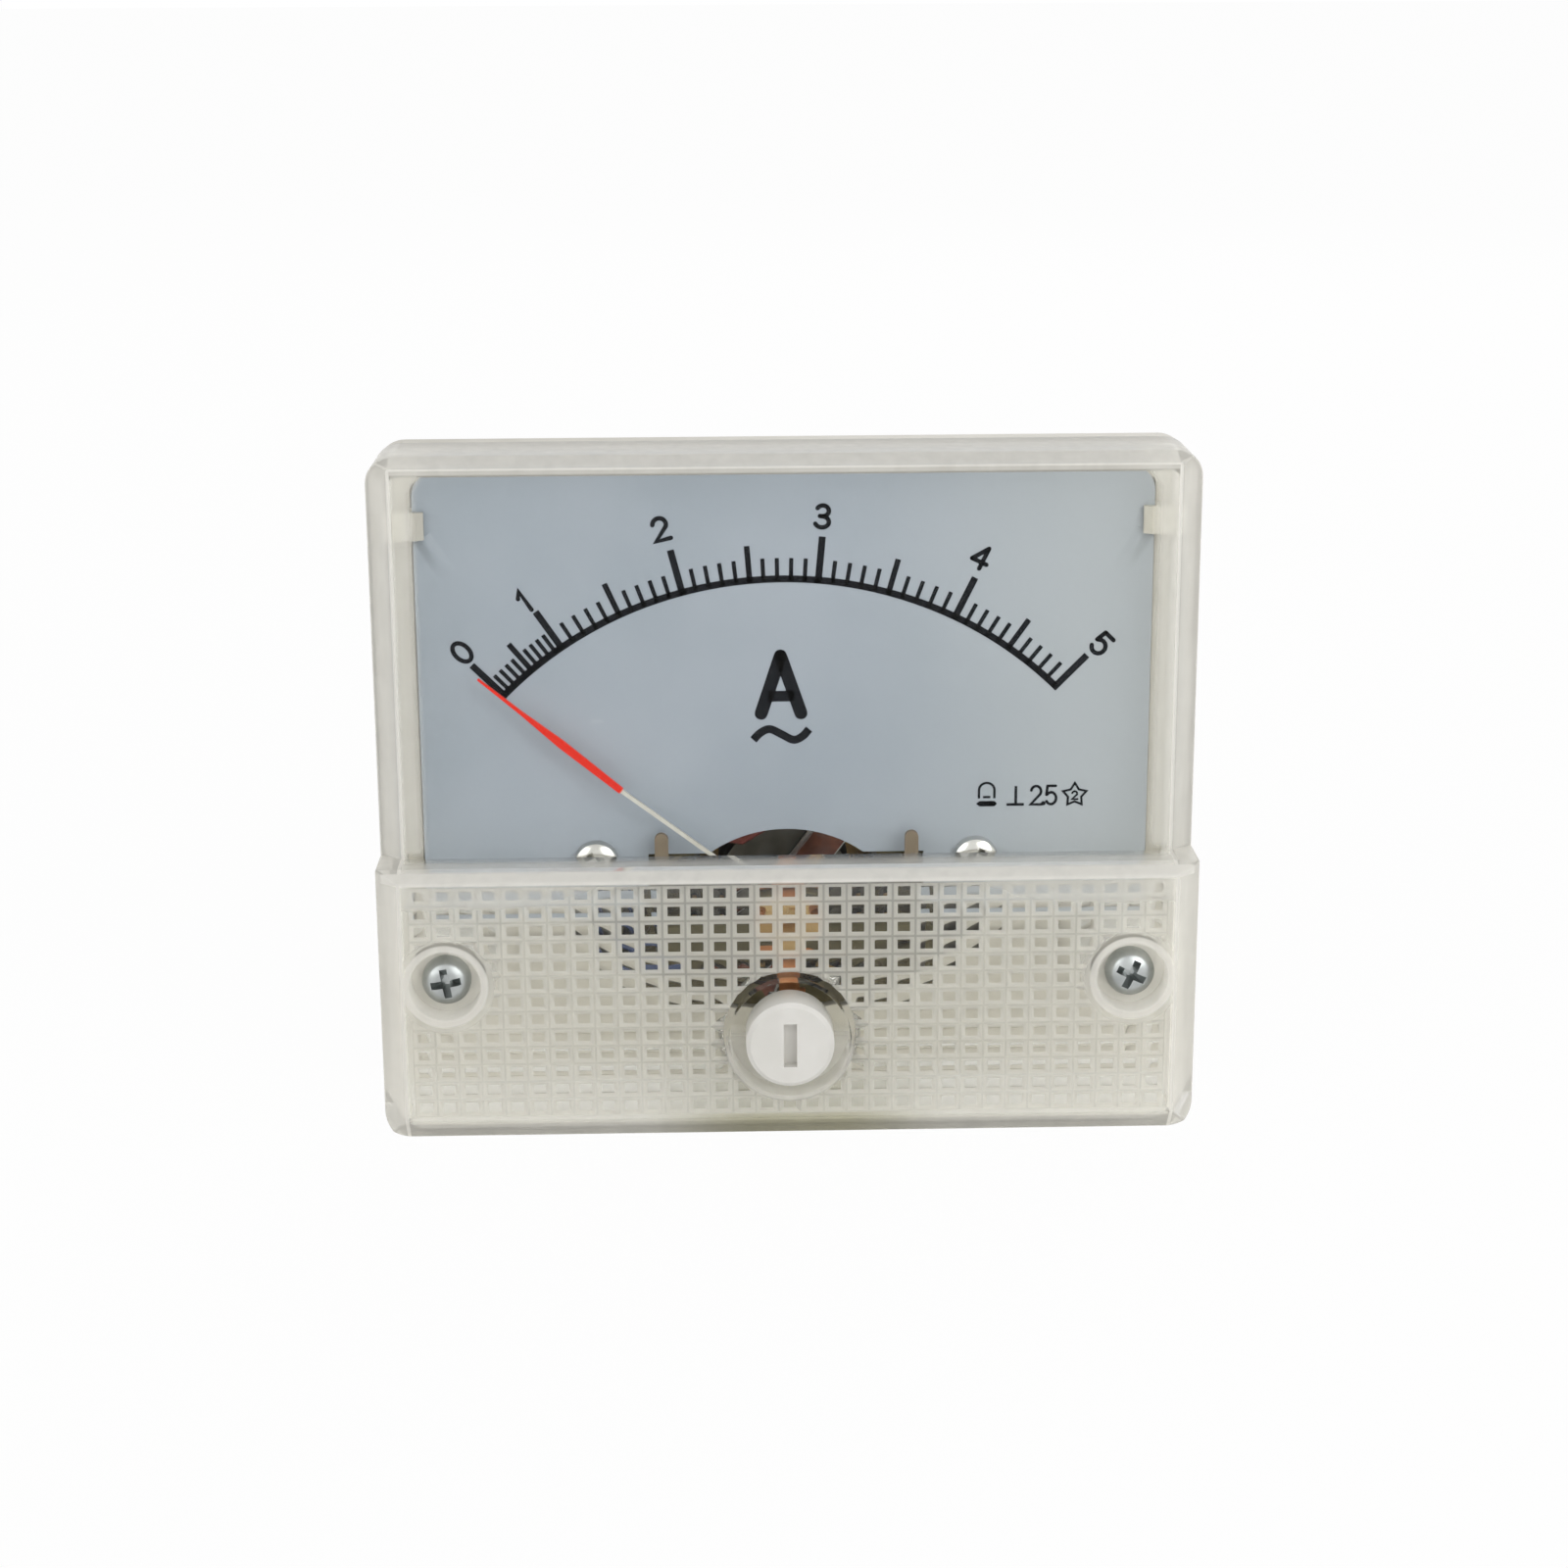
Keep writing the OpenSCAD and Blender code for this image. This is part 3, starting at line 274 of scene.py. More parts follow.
sky = bpy.data.worlds.new("studio")
sky.use_nodes = True
scene.world = sky
sky_net = Net(sky.node_tree)
sky_back = sky.node_tree.nodes["Background"]
sky_net.feed(sky_back.inputs["Strength"], SKY_LEVEL + (1 - SKY_LEVEL) * seen_directly(sky_net))
sky_net.feed(sky_back.inputs["Color"], WHITE)

floor_finish = Finish("floor_paper")
fleck = floor_finish.noise(0.2)
paper_colour = floor_finish.mix(fleck, (0.88, 0.88, 0.87, 1), (0.92, 0.92, 0.91, 1))
floor_finish.set(Base_Color=paper_colour, Roughness=0.9)
glow = floor_finish.add("ShaderNodeEmission", inputs={"Color": WHITE, "Strength": 1})
share = FLOOR_GLOW * seen_directly(floor_finish)
floor_finish.feed(floor_finish.surface, floor_finish.blend(share, floor_finish.plain, glow))

floor_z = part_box("front_cover")[0].z
floor_mesh = bpy.data.meshes.new("floor")
SQUARE = ((-1, -1), (1, -1), (1, 1), (-1, 1))
corners = [(sx * FLOOR_HALF, sy * FLOOR_HALF, floor_z) for sx, sy in SQUARE]
floor_mesh.from_pydata(corners, [], [(0, 1, 2, 3)])
floor_mesh.materials.append(floor_finish.material)
floor = bpy.data.objects.new("floor", floor_mesh)
scene.collection.objects.link(floor)
print("floor at", round(floor_z, 5))


# %% Lamps
def add_lamp(name, place, width, level):
    """A square lamp that looks at the meter and adds this level to a white surface that faces it."""
    place = Vector(place)
    lamp_data = bpy.data.lights.new(name, "AREA")
    lamp_data.size = width
    lamp_data.energy = level * math.pi ** 2 * place.length_squared
    lamp = bpy.data.objects.new(name, lamp_data)
    lamp.location = place
    lamp.rotation_euler = (-place).to_track_quat("-Z", "Y").to_euler()
    scene.collection.objects.link(lamp)
    print(name, round(lamp_data.energy, 2), "W")


add_lamp("key_lamp", (0.26, -0.36, 0.2), 0.35, 0.36)
add_lamp("fill_lamp", (-0.5, -0.45, 0.3), 0.5, 0.22)
add_lamp("rear_lamp", (0.2, 0.6, 0.4), 0.5, 0.16)

# %% [markdown]
# ## Plastics
# Moulded plastic is never one colour: it has soft clouds where the melt flowed and a very fine grain from
# the mould. A picture of plastic could be wrapped round the pieces, but noise in the pieces' own
# millimetres has no seams. The left clip of the base lies in shade, so a greyer colour paints that shade
# on it.


# %% Moulded plastics
def moulded(name, colour, cloud_colour, roughness, grain):
    """Plastic with soft clouds and a fine mould grain."""
    finish = Finish(name)
    cloud = finish.ramp(finish.noise(0.3, 3), 0.3, 0.7)
    fine = finish.noise(7, 2)
    finish.tone = finish.mix(cloud, colour, cloud_colour)
    finish.set(Base_Color=finish.tone)
    finish.set(Roughness=roughness + 0.1 * (fine - 0.5), Normal=finish.bump(fine, grain))
    return finish


cream_plastic = moulded("cream_plastic", paint(208, 204, 193), paint(200, 196, 184), 0.42, 0.006)
white_plastic = moulded("white_plastic", paint(225, 223, 218), paint(218, 216, 210), 0.36, 0.003)
black_plastic = moulded("black_plastic", paint(34, 34, 36), paint(26, 26, 28), 0.35, 0.004)
red_insulation = moulded("red_insulation", paint(126, 60, 50), paint(106, 48, 40), 0.5, 0.004)
blue_insulation = moulded("blue_insulation", paint(66, 84, 128), paint(55, 71, 110), 0.45, 0.004)
blue_insulation.set(Coat_Weight=0.2)
print("plastics ready")

# %% Painted shade on the left clip
# The left clip gets a greyer colour: a painted shade.
CLIP_X, CLIP_Z = -29, 21.2
cream_x, _, cream_z = cream_plastic.axes()
left_clip_painted_shade = cream_plastic.ramp(cream_plastic.size(cream_x - CLIP_X), 0.9, 0.7)
left_clip_painted_shade *= cream_plastic.ramp(cream_plastic.size(cream_z - CLIP_Z), 1.5, 1.2)
cream_plastic.set(Base_Color=cream_plastic.mix(left_clip_painted_shade, cream_plastic.tone, paint(182, 179, 171)))
print("left clip toned")

# %% [markdown]
# ## The clear cover's plastic
# Clear plastic bends light and reflects a little of the room. Its walls look milky where one looks along
# them, because the light meets more plastic there. A shader with full transmission gives the bending, and
# a share of pale plastic gives the milk. Along the edges of the window and the front edge of the ledge the
# same pale plastic is mixed in strongly as a painted highlight on their rounded edges. For shadow rays the
# cover is simply see-through, so that the lamps reach the dial. The slopes of the waffle throw the light of
# the room back, so that each cell has a white border: that is a painted reflection, the same plastic with
# much more milk, and less of it along the thin line where two slopes meet. The middle of the bottom edge has
# an olive tone, a painted shade for the dark shadow under the meter, so an olive milk is mixed in there.


# %% Clear plastic
GLOW_SHARE = 0.35
CLEAR = (0.975, 0.978, 0.965, 1)
CLEAR_SHADOW = (0.95, 0.955, 0.945, 1)


def milky(finish, colour):
    """Pale plastic that is lit from both sides."""
    skin = finish.add("ShaderNodeBsdfDiffuse", inputs={"Color": colour})
    glow_through = finish.add("ShaderNodeBsdfTranslucent", inputs={"Color": colour})
    return finish.blend(GLOW_SHARE, skin, glow_through)


def clear_moulding(name):
    """Polished clear plastic with hardly visible waves."""
    finish = Finish(name)
    finish.haze = finish.noise(0.25, 2)
    ripple = finish.noise(0.12, 1)
    finish.set(Base_Color=CLEAR, IOR=1.49, Transmission_Weight=1.0)
    finish.set(Specular_Tint=(0.06, 0.06, 0.06, 1))
    finish.set(Roughness=0.015 + 0.03 * finish.haze, Normal=finish.bump(ripple, 0.03))
    return finish


def fill_with_milk(finish, share, milk):
    """Mixes milk into clear plastic, and lets shadow rays through."""
    body = finish.blend(share, finish.plain, milk)
    open_air = finish.add("ShaderNodeBsdfTransparent", inputs={"Color": CLEAR_SHADOW})
    shadow_ray = Wire(finish, finish.add("ShaderNodeLightPath").socket.node.outputs["Is Shadow Ray"])
    finish.feed(finish.surface, finish.blend(shadow_ray, body, open_air))


# %% Where the cover is milky or has a painted highlight
SCREW_X, SCREW_Z = 27.2, -14
ADJUSTER_Z = -18.8
SIDE_LINE, TOP_LINE = 30.6, 26.45
MIDDLE_W, MIDDLE_H, MIDDLE_Z = 16, 7.5, -11.5
CORNER_Z = 24.6
clear_plastic = clear_moulding("clear_plastic")
ramp = clear_plastic.ramp
size = clear_plastic.size
across, deep, up = clear_plastic.axes()
out = size(across)
from_screw = ((out - SCREW_X) ** 2 + (up - SCREW_Z) ** 2) ** 0.5
from_adjuster = (across ** 2 + (up - ADJUSTER_Z) ** 2) ** 0.5
from_middle = ((across / MIDDLE_W) ** 2 + ((up - MIDDLE_Z) / MIDDLE_H) ** 2) ** 0.5
near_corner = clear_plastic.larger(up - CORNER_Z, 0) * 0.6
window_face = ramp(deep, -10.3, -10.45)
strip_face = ramp(deep, -14.6, -14.75)
upper_veil = strip_face * (0.2 + 0.8 * ramp(from_middle, 0.75, 1.6))
milky_and_highlight_places = {
    "side rims": ramp(out, 30.2, 30.9),
    "top rim": ramp(up, 25.75, 26.1),
    "bottom rim": 0.8 * ramp(up, -25.0, -25.7),
    "border of the window": 0.5 * ramp(out + near_corner, 28.4, 29.4) * ramp(up, -5, -4),
    "ledge": 0.7 * ramp(up, -5.6, -4.9) * ramp(deep, -10.5, -12.5),
    "screw columns": 1.2 * ramp(from_screw, 3.6, 3.3),
    "plastic round the columns": 0.45 * ramp(from_screw, 4.6, 3.7),
    "well of the adjuster": 0.8 * ramp(from_adjuster, 5.4, 5.0) * ramp(up, -18, -20.5),
    "outer strip": strip_face * (0.05 + 0.32 * ramp(from_middle, 0.9, 1.9)),
    "upper strip": 0.62 * upper_veil * ramp(up, -10.2, -6.0),
    # The last three places are painted highlights along the rounded edges of the window and the ledge.
    "side edges of the window": 1.5 * ramp(size(out - SIDE_LINE), 0.24, 0.1) * window_face,
    "top edge of the window": 1.5 * ramp(size(up - TOP_LINE), 0.24, 0.1) * window_face,
    "front edge of the ledge": 1.5 * ramp(up, -5.9, -5.65) * ramp(deep, -13.3, -13.8),
}
print(len(milky_and_highlight_places), "milky places")

# %% Milk and painted highlights of the cover
milk_and_highlights = 0
for place in milky_and_highlight_places.values():
    milk_and_highlights = clear_plastic.larger(milk_and_highlights, place)
streaks = clear_plastic.noise(0.9, 2, (1, 1, 0.15))
milk_and_highlight_share = (0.003 + 0.66 * milk_and_highlights) * (0.76 + 0.26 * clear_plastic.haze + 0.22 * streaks)
# An olive milk in the middle of the bottom edge is a painted shade for the shadow under the meter.
bottom_painted_shade = ramp(size(across - 0.5), 13, 3) * ramp(up, -25.0, -25.4)
pale_milk_and_highlight = milky(clear_plastic, paint(243, 241, 235))
olive_painted_shade = milky(clear_plastic, paint(190, 186, 154))
fill_with_milk(clear_plastic, milk_and_highlight_share, clear_plastic.blend(0.8 * bottom_painted_shade, pale_milk_and_highlight, olive_painted_shade))
print("clear plastic ready")

# %% Painted reflection on the slopes of the waffle
CELL_W, CELL_H, CELL_MID = 1.82, 1.48, -15.8
waffle_slope = clear_moulding("waffle_slope")
slope_x, _, slope_z = waffle_slope.axes()
groove_x = waffle_slope.nearest(slope_x / CELL_W + 0.5) * CELL_W
groove_z = waffle_slope.nearest((slope_z - CELL_MID) / CELL_H + 0.5) * CELL_H
groove = waffle_slope.ramp(waffle_slope.smaller(groove_x, groove_z), 0.12, 0.05)
# The milk on the slopes is a painted reflection of the room, with less of it along the grooves.
slope_reflection_share = (0.7 + 0.2 * waffle_slope.haze) * (1 - 0.3 * groove)
fill_with_milk(waffle_slope, slope_reflection_share, milky(waffle_slope, paint(229, 227, 219)))
print("waffle slopes ready")

# %% [markdown]
# ## Metals
# A metal's colour is in its reflections, so its roughness matters more than its paint. Plated screws have
# small stains, rolled sheet has fine lines, and iron has a dull speckle. One function makes them all, from
# a colour, a darker stain, a roughness and a stretch that turns specks into lines.


# %% Metals
def metal(name, colour, stain, roughness, stretch=(1, 1, 1), relief=0.004, metallic=1.0):
    """Metal with soft stains and fine lines or specks."""
    finish = Finish(name)
    patch = finish.ramp(finish.noise(0.5, 3), 0.35, 0.75)
    line = finish.noise(6, 3, stretch)
    finish.set(Base_Color=finish.mix(patch, colour, stain), Metallic=metallic)
    finish.set(Roughness=roughness + 0.18 * (line - 0.5) + 0.06 * patch, Normal=finish.bump(line, relief))
    return finish


zinc_steel = metal("zinc_steel", paint(184, 188, 187), paint(154, 158, 157), 0.33)
nickel_steel = metal("nickel_steel", paint(222, 221, 217), paint(198, 197, 192), 0.16, relief=0.002)
# The frame and bridge get a dark olive: partly the steel's own tint and partly a painted shade for the dark
# inside of the barrel.
olive_steel = metal("olive_steel", paint(102, 96, 74), paint(78, 72, 54), 0.42, relief=0.006)
soft_iron = metal("soft_iron", paint(106, 104, 96), paint(82, 79, 71), 0.42, relief=0.008)
magnet_alloy = metal("magnet_alloy", paint(80, 78, 74), paint(60, 58, 55), 0.55, relief=0.015, metallic=0.7)
aluminium = metal("aluminium", paint(196, 196, 193), paint(178, 178, 174), 0.3, (0.1, 2, 2))
brass = metal("brass", paint(188, 160, 112), paint(160, 129, 84), 0.28)
bronze = metal("bronze", paint(186, 130, 88), paint(158, 102, 64), 0.3, (0.3, 2, 0.3))
print("metals ready")

# %% [markdown]
# ## Wire, board and fibre
# A winding is hundreds of turns of lacquered wire. Each turn could be a curve of its own, but they are
# only a quarter of a millimetre apart here, so waves in the relief draw them. The board is a woven
# laminate, and the stops wear a fibre sleeve.

# %% Copper winding
WIRE_WAVE = 26
copper_wire = Finish("copper_wire")
_, wire_y, _ = copper_wire.axes()
turns = copper_wire.sine(wire_y * WIRE_WAVE)
tone = copper_wire.ramp(copper_wire.noise(0.8, 2), 0.3, 0.7)
# The red-brown is darker than the lacquered copper's own colour: partly a painted shade for the winding deep
# inside the meter.
copper_wire.set(Base_Color=copper_wire.mix(tone, paint(112, 64, 46), paint(86, 48, 35)), Metallic=0.6)
copper_wire.set(Roughness=0.32 + 0.06 * turns, Coat_Weight=0.4)
copper_wire.set(Normal=copper_wire.bump(0.5 + 0.5 * turns, 0.06))
print("copper wire ready")

# %% Board and fibre
WEAVE_WAVE = 9
board_laminate = Finish("board_laminate")
board_x, _, board_z = board_laminate.axes()
weave = board_laminate.sine(board_x * WEAVE_WAVE) * board_laminate.sine(board_z * WEAVE_WAVE)
board_laminate.set(Base_Color=board_laminate.mix(0.5 + 0.5 * weave, paint(48, 96, 70), paint(40, 84, 60)))
board_laminate.set(Roughness=0.4 + 0.05 * weave, Normal=board_laminate.bump(weave, 0.01))

tan_fibre = Finish("tan_fibre")
fibre = tan_fibre.noise(4, 3, (3, 3, 0.4))
tan_fibre.set(Base_Color=tan_fibre.mix(fibre, paint(134, 120, 100), paint(106, 94, 77)))
tan_fibre.set(Roughness=0.65 + 0.2 * (fibre - 0.5), Normal=tan_fibre.bump(fibre, 0.02))
print("board and fibre ready")

# %% [markdown]
# ## Dial paint
# The dial is thin sheet metal with a pale blue-grey paint, and a painted light makes it a little paler
# towards the right. Up close it has faint cloudy marks and a few whitish smudges, and the sheet is creased a
# little where the side clips hold it. The creases could be modelled, but they are shallow, so a bump is
# enough.

# %% Dial
DIAL_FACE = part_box("dial_plate")[0].y / MM
CREASE_X, CREASE_Z = 28.6, 20.2
CREASE_IN, CREASE_DOWN = 0.55, 0.84
dial_paint = Finish("dial_paint")
dial_x, _, dial_z = dial_paint.axes()
cloud = dial_paint.ramp(dial_paint.noise(0.08, 3), 0.3, 0.7)
smudge = dial_paint.ramp(dial_paint.noise(0.55, 4, (0.6, 1, 1.6)), 0.68, 0.8)
left_side = dial_paint.ramp(dial_x, 12, -16)
smudge_share = 0.3 * smudge * left_side
dull = dial_paint.mix(cloud, paint(159, 167, 177), paint(152, 161, 171))
# Painted light: the paint turns paler towards the right.
painted_light_to_right = dial_paint.ramp(dial_x, 2, 28)
pale = dial_paint.mix(painted_light_to_right, dull, paint(169, 175, 180))
dial_paint.set(Base_Color=dial_paint.mix(smudge_share, pale, paint(190, 194, 199)))
inwards = CREASE_X - dial_paint.size(dial_x)
downwards = CREASE_Z - dial_z
along_crease = CREASE_IN * inwards + CREASE_DOWN * downwards
off_crease = dial_paint.size(CREASE_DOWN * inwards - CREASE_IN * downwards)
crease = dial_paint.ramp(off_crease, 0.9, 0.0) * dial_paint.ramp(along_crease, 4.2, 0.6) * (along_crease > 0)
fine_paint = dial_paint.noise(12, 2)
dial_normal = dial_paint.bump(fine_paint, 0.003, dial_paint.bump(crease, 0.3))
dial_paint.set(Roughness=0.4 + 0.1 * (fine_paint - 0.5), Normal=dial_normal)
print("dial face at y", round(DIAL_FACE, 3), "mm")

# %% [markdown]
# ## Pointer lacquer
# The pointer is one thin strip of aluminium. Its lance is dipped in red lacquer, and the shank stays bare.
# Two pieces could carry the two finishes, but the border is at a known distance from the pivot, so the
# distance picks the colour.

# %% Pointer
PIVOT_Z = -10.3
LANCE_START = 16.6
red_lacquer = Finish("red_lacquer")
tip_x, _, tip_z = red_lacquer.axes()
reach = (tip_x ** 2 + (tip_z - PIVOT_Z) ** 2) ** 0.5
dipped = red_lacquer.ramp(reach, LANCE_START - 0.1, LANCE_START + 0.1)
streak = red_lacquer.noise(2, 2)
lacquer = red_lacquer.mix(streak, paint(228, 48, 30), paint(214, 40, 26))
bare = red_lacquer.mix(streak, paint(214, 212, 204), paint(196, 193, 184))
red_lacquer.set(Base_Color=red_lacquer.mix(dipped, bare, lacquer), Metallic=0.3 * (1 - dipped))
red_lacquer.set(Roughness=0.38 + 0.1 * (streak - 0.5), Normal=red_lacquer.bump(streak, 0.004))
red_lacquer.set(Specular_IOR_Level=0.2)
print("pointer ready")

# %% [markdown]
# ## Finishes on the solids
# Each solid names the slot of its finish in the record, so the finishes above find their solids by that
# name.

# %% Give every solid its finish
finishes = {
    finish.name: finish.material
    for finish in (
        cream_plastic, white_plastic, black_plastic, red_insulation, blue_insulation, clear_plastic,
        zinc_steel, nickel_steel, olive_steel, soft_iron, magnet_alloy, aluminium, brass, bronze,
        copper_wire, board_laminate, tan_fibre, dial_paint, red_lacquer,
    )
}
for part in frame["record"]["subparts"]:
    mesh = nodes[part["node"]].data
    mesh.materials.clear()
    mesh.materials.append(finishes[part["material_slot"]])
print(len(finishes), "finishes in use")

# %% [markdown]
# ## Soft edges
# Moulded and stamped pieces have no razor edges. A Bevel modifier rounds them by a tenth of a millimetre or
# two, and the thin bright lines along the edges come from that. The solids themselves stay as they are.


# %% Bevels
SAME_SPOT = 0.002 * MM
EDGE_ANGLE = math.radians(35)
SOFT_EDGES = {"zero_adjuster": 0.16, "base_housing": 0.2, "front_bridge": 0.08, "movement_frame": 0.08}


def soften(name, width):
    """Welds a solid's faces together and rounds its edges, both as modifiers."""
    solid = nodes[name]
    weld = solid.modifiers.new("weld", "WELD")
    weld.merge_threshold = SAME_SPOT
    bevel = solid.modifiers.new("edges", "BEVEL")
    bevel.width = width * MM
    bevel.segments = 2
    bevel.limit_method = "ANGLE"
    bevel.angle_limit = EDGE_ANGLE


for name, width in SOFT_EDGES.items():
    soften(name, width)
print("edges softened")

# %% [markdown]
# ## The clear cover
# The cover decides the look of the meter, and clear plastic shows every edge as a bright line. So its solid
# is copied, and the outer edges are rounded in the copy. The waffle inside the strip keeps its sharp
# ridges, because they look sharp in the photograph.


# %% Pieces made here
def add_piece(name, mesh, finish, body="housing", stands_for=None):
    """Puts a mesh into the scene with a finish, and lets it ride on a body."""
    made = bpy.data.objects.new(name, mesh)
    scene.collection.objects.link(made)
    mesh.materials.clear()
    mesh.materials.append(finish.material)
    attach(made, body)
    if stands_for:
        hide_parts(stands_for)
    print(name, len(mesh.polygons), "faces")


def smooth_mesh(mesh, angle, flat_area=math.inf):
    """Smooth shading up to this angle. Faces of more than flat_area square millimetres stay flat."""
    mesh.set_sharp_from_angle(angle=math.radians(angle))
    mesh.polygons.foreach_set("use_smooth", [face.area < flat_area * MM ** 2 for face in mesh.polygons])


# %% Round the cover's edges
HOLLOW_X, HOLLOW_Z, HOLLOW_Y = 31.2, 25.9, -13.75
ROUNDING = 0.16 * MM
SHARP_ANGLE = math.radians(14)
FLAT_ANGLE = math.radians(0.3)
cover_mesh = bpy.data.meshes.new("clear_cover")
shape = bmesh.new()
shape.from_mesh(nodes["front_cover"].data)
bmesh.ops.remove_doubles(shape, verts=shape.verts, dist=SAME_SPOT)
bmesh.ops.dissolve_limit(shape, angle_limit=FLAT_ANGLE, verts=shape.verts, edges=shape.edges)


def on_waffle(edge):
    """True for an edge of the waffle or of the hollow, which stay sharp."""
    middle = (edge.verts[0].co + edge.verts[1].co) / 2 / MM
    return abs(middle.x) < HOLLOW_X and abs(middle.z) < HOLLOW_Z and middle.y > HOLLOW_Y


sharp = [edge for edge in shape.edges if edge.is_manifold and edge.calc_face_angle(0) > SHARP_ANGLE]
outer = [edge for edge in sharp if not on_waffle(edge)]
bmesh.ops.bevel(
    shape, geom=outer, offset=ROUNDING, segments=2, profile=0.5, affect="EDGES", clamp_overlap=False,
)
shape.to_mesh(cover_mesh)
shape.free()
smooth_mesh(cover_mesh, 25, flat_area=6)
add_piece("clear_cover", cover_mesh, clear_plastic, stands_for="front_cover")
print(len(outer), "of", len(sharp), "edges rounded")

# %% Slopes of the cells
STRIP_TOP = -5.9
SLOPE_FRONT, SLOPE_BACK = -13.25, -12.7
cover_mesh.materials.append(waffle_slope.material)
slopes = 0
for face in cover_mesh.polygons:
    spot = face.center / MM
    in_strip = abs(spot.x) < HOLLOW_X and -HOLLOW_Z < spot.z < STRIP_TOP
    if in_strip and SLOPE_FRONT < spot.y < SLOPE_BACK and 0.3 < face.normal.y < 0.95:
        face.material_index = 1
        slopes += 1
print(slopes, "slopes in the waffle")

# %% [markdown]
# ## Print on the dial
# The scale is printed in black ink. Text objects could write the digits, but a font would bring its own
# shapes, and the real print looks as if drawn with a round pen. So each mark is a path of a pen with a
# width, laid as a very thin flat ribbon on the dial.

# %% A pen
INK_TOP = DIAL_FACE - 0.02
INK_UNDER = DIAL_FACE + 0.01
ink_verts = []
ink_faces = []


def round_off(spots, half):
    """Adds a half circle of narrowing stations to both ends of a path."""
    halves = [half] * len(spots)
    for _ in range(2):
        outward = (spots[0] - spots[1]).normalized()
        steps = [math.radians(angle) for angle in (80, 60, 40, 20)]
        spots = [spots[0] + outward * half * math.sin(step) for step in steps] + spots
        halves = [half * math.cos(step) for step in steps] + halves
        spots.reverse()
        halves.reverse()
    return spots, halves


def pen(points, width, closed=False, ends="round"):
    """Lays one ribbon of ink along points in the dial's plane, with mitred corners."""
    spots = [Vector(point) for point in points]
    halves = [width / 2] * len(spots)
    if ends == "round" and not closed:
        spots, halves = round_off(spots, width / 2)
    count = len(spots)
    first = len(ink_verts)
    for i, spot in enumerate(spots):
        before = spots[i - 1] if closed or i else spot * 2 - spots[1]
        after = spots[(i + 1) % count] if closed or i < count - 1 else spot * 2 - spots[i - 1]
        along_in = (spot - before).normalized()
        along_out = (after - spot).normalized()
        along = (along_in + along_out).normalized()
        reach_out = halves[i] / max(along.dot(along_out), 0.5)
        side = Vector((-along.y, along.x)) * reach_out
        for level in (INK_TOP, INK_UNDER):
            for edge in (spot + side, spot - side):
                ink_verts.append((edge.x * MM, level * MM, edge.y * MM))
    for i in range(count if closed else count - 1):
        a = first + 4 * i
        b = first + 4 * ((i + 1) % count)
        ink_faces.append((a, b, b + 1, a + 1))
        ink_faces.append((a + 2, a + 3, b + 3, b + 2))
        ink_faces.append((a, a + 2, b + 2, b))
        ink_faces.append((a + 1, b + 1, b + 3, a + 3))
    if not closed:
        last = first + 4 * (count - 1)
        ink_faces.append((first, first + 1, first + 3, first + 2))
        ink_faces.append((last, last + 2, last + 3, last + 1))


def bow(x, z, width, height, start, end, steps=12):
    """Points along part of an ellipse. Angles are in degrees from the right, anticlockwise."""
    turns = [math.radians(start + (end - start) * i / steps) for i in range(steps + 1)]
    return [(x + width * math.cos(turn), z + height * math.sin(turn)) for turn in turns]


def smooth_path(points, steps=6):
    """A soft curve through given points."""
    spots = [Vector(point) for point in points]
    spots = [spots[0] * 2 - spots[1]] + spots + [spots[-1] * 2 - spots[-2]]
    path = []
    for a, b, c, d in zip(spots, spots[1:], spots[2:], spots[3:]):
        for i in range(steps):
            t = i / steps
            line = (c - a) * t / 2
            bend = (a * 2 - b * 5 + c * 4 - d) * t * t / 2
            twist = (b * 3 - a - c * 3 + d) * t ** 3 / 2
            path.append(b + line + bend + twist)
    return path + [spots[-2]]


# %% Digits of the pen
DIGITS = {
    "0": [bow(0, 0.5, 0.3, 0.46, 0, 360, 28)[:-1]],
    "1": [[(-0.2, 0.72), (0, 0.96), (0, 0.04)]],
    "2": [bow(0, 0.69, 0.28, 0.27, 168, -28) + [(-0.3, 0.04), (0.32, 0.04)]],
    "3": [
        bow(-0.02, 0.735, 0.25, 0.225, 155, -90),
        bow(-0.02, 0.275, 0.29, 0.235, 90, -155),
        [(-0.12, 0.51), (0, 0.51)],
    ],
    "4": [[(0.13, 0.04), (0.13, 0.96)], [(0.13, 0.96), (-0.33, 0.31)], [(-0.33, 0.31), (0.33, 0.31)]],
    "5": [[(0.27, 0.96), (-0.2, 0.96)], [(-0.2, 0.96), (-0.25, 0.52)], bow(0.01, 0.34, 0.29, 0.3, 142, -150)],
}


def write_digit(digit, x, z, height, width, lean=0, narrow=1.0):
    """Writes a digit round its centre, turned clockwise by an angle in degrees."""
    turn = math.radians(lean)
    for path in DIGITS[digit]:
        placed = []
        for px, pz in path:
            dx = px * height * narrow
            dz = (pz - 0.5) * height
            at_x = x + dx * math.cos(turn) + dz * math.sin(turn)
            at_z = z - dx * math.sin(turn) + dz * math.cos(turn)
            placed.append((at_x, at_z))
        pen(placed, width, closed=digit == "0")


# %% Scale
ARC_X, ARC_Z, ARC_R, ARC_T = -0.26, -14.7, 31.05, 0.56
MAJOR = (-45.2, -34.1, -14.6, 5.35, 26.2, 44.5)
DIGIT_AT = ((-25.74, 10.93), (-20.61, 15.08), (-9.8, 20.73), (3.03, 21.62), (15.6, 18.21), (25.29, 11.09))
DIGIT_H, DIGIT_PEN = 1.92, 0.36
LONG_TICK, MIDDLE_TICK, SHORT_TICK = (3.25, 0.55), (2.5, 0.45), (1.4, 0.33)
ARC_STEPS = 96


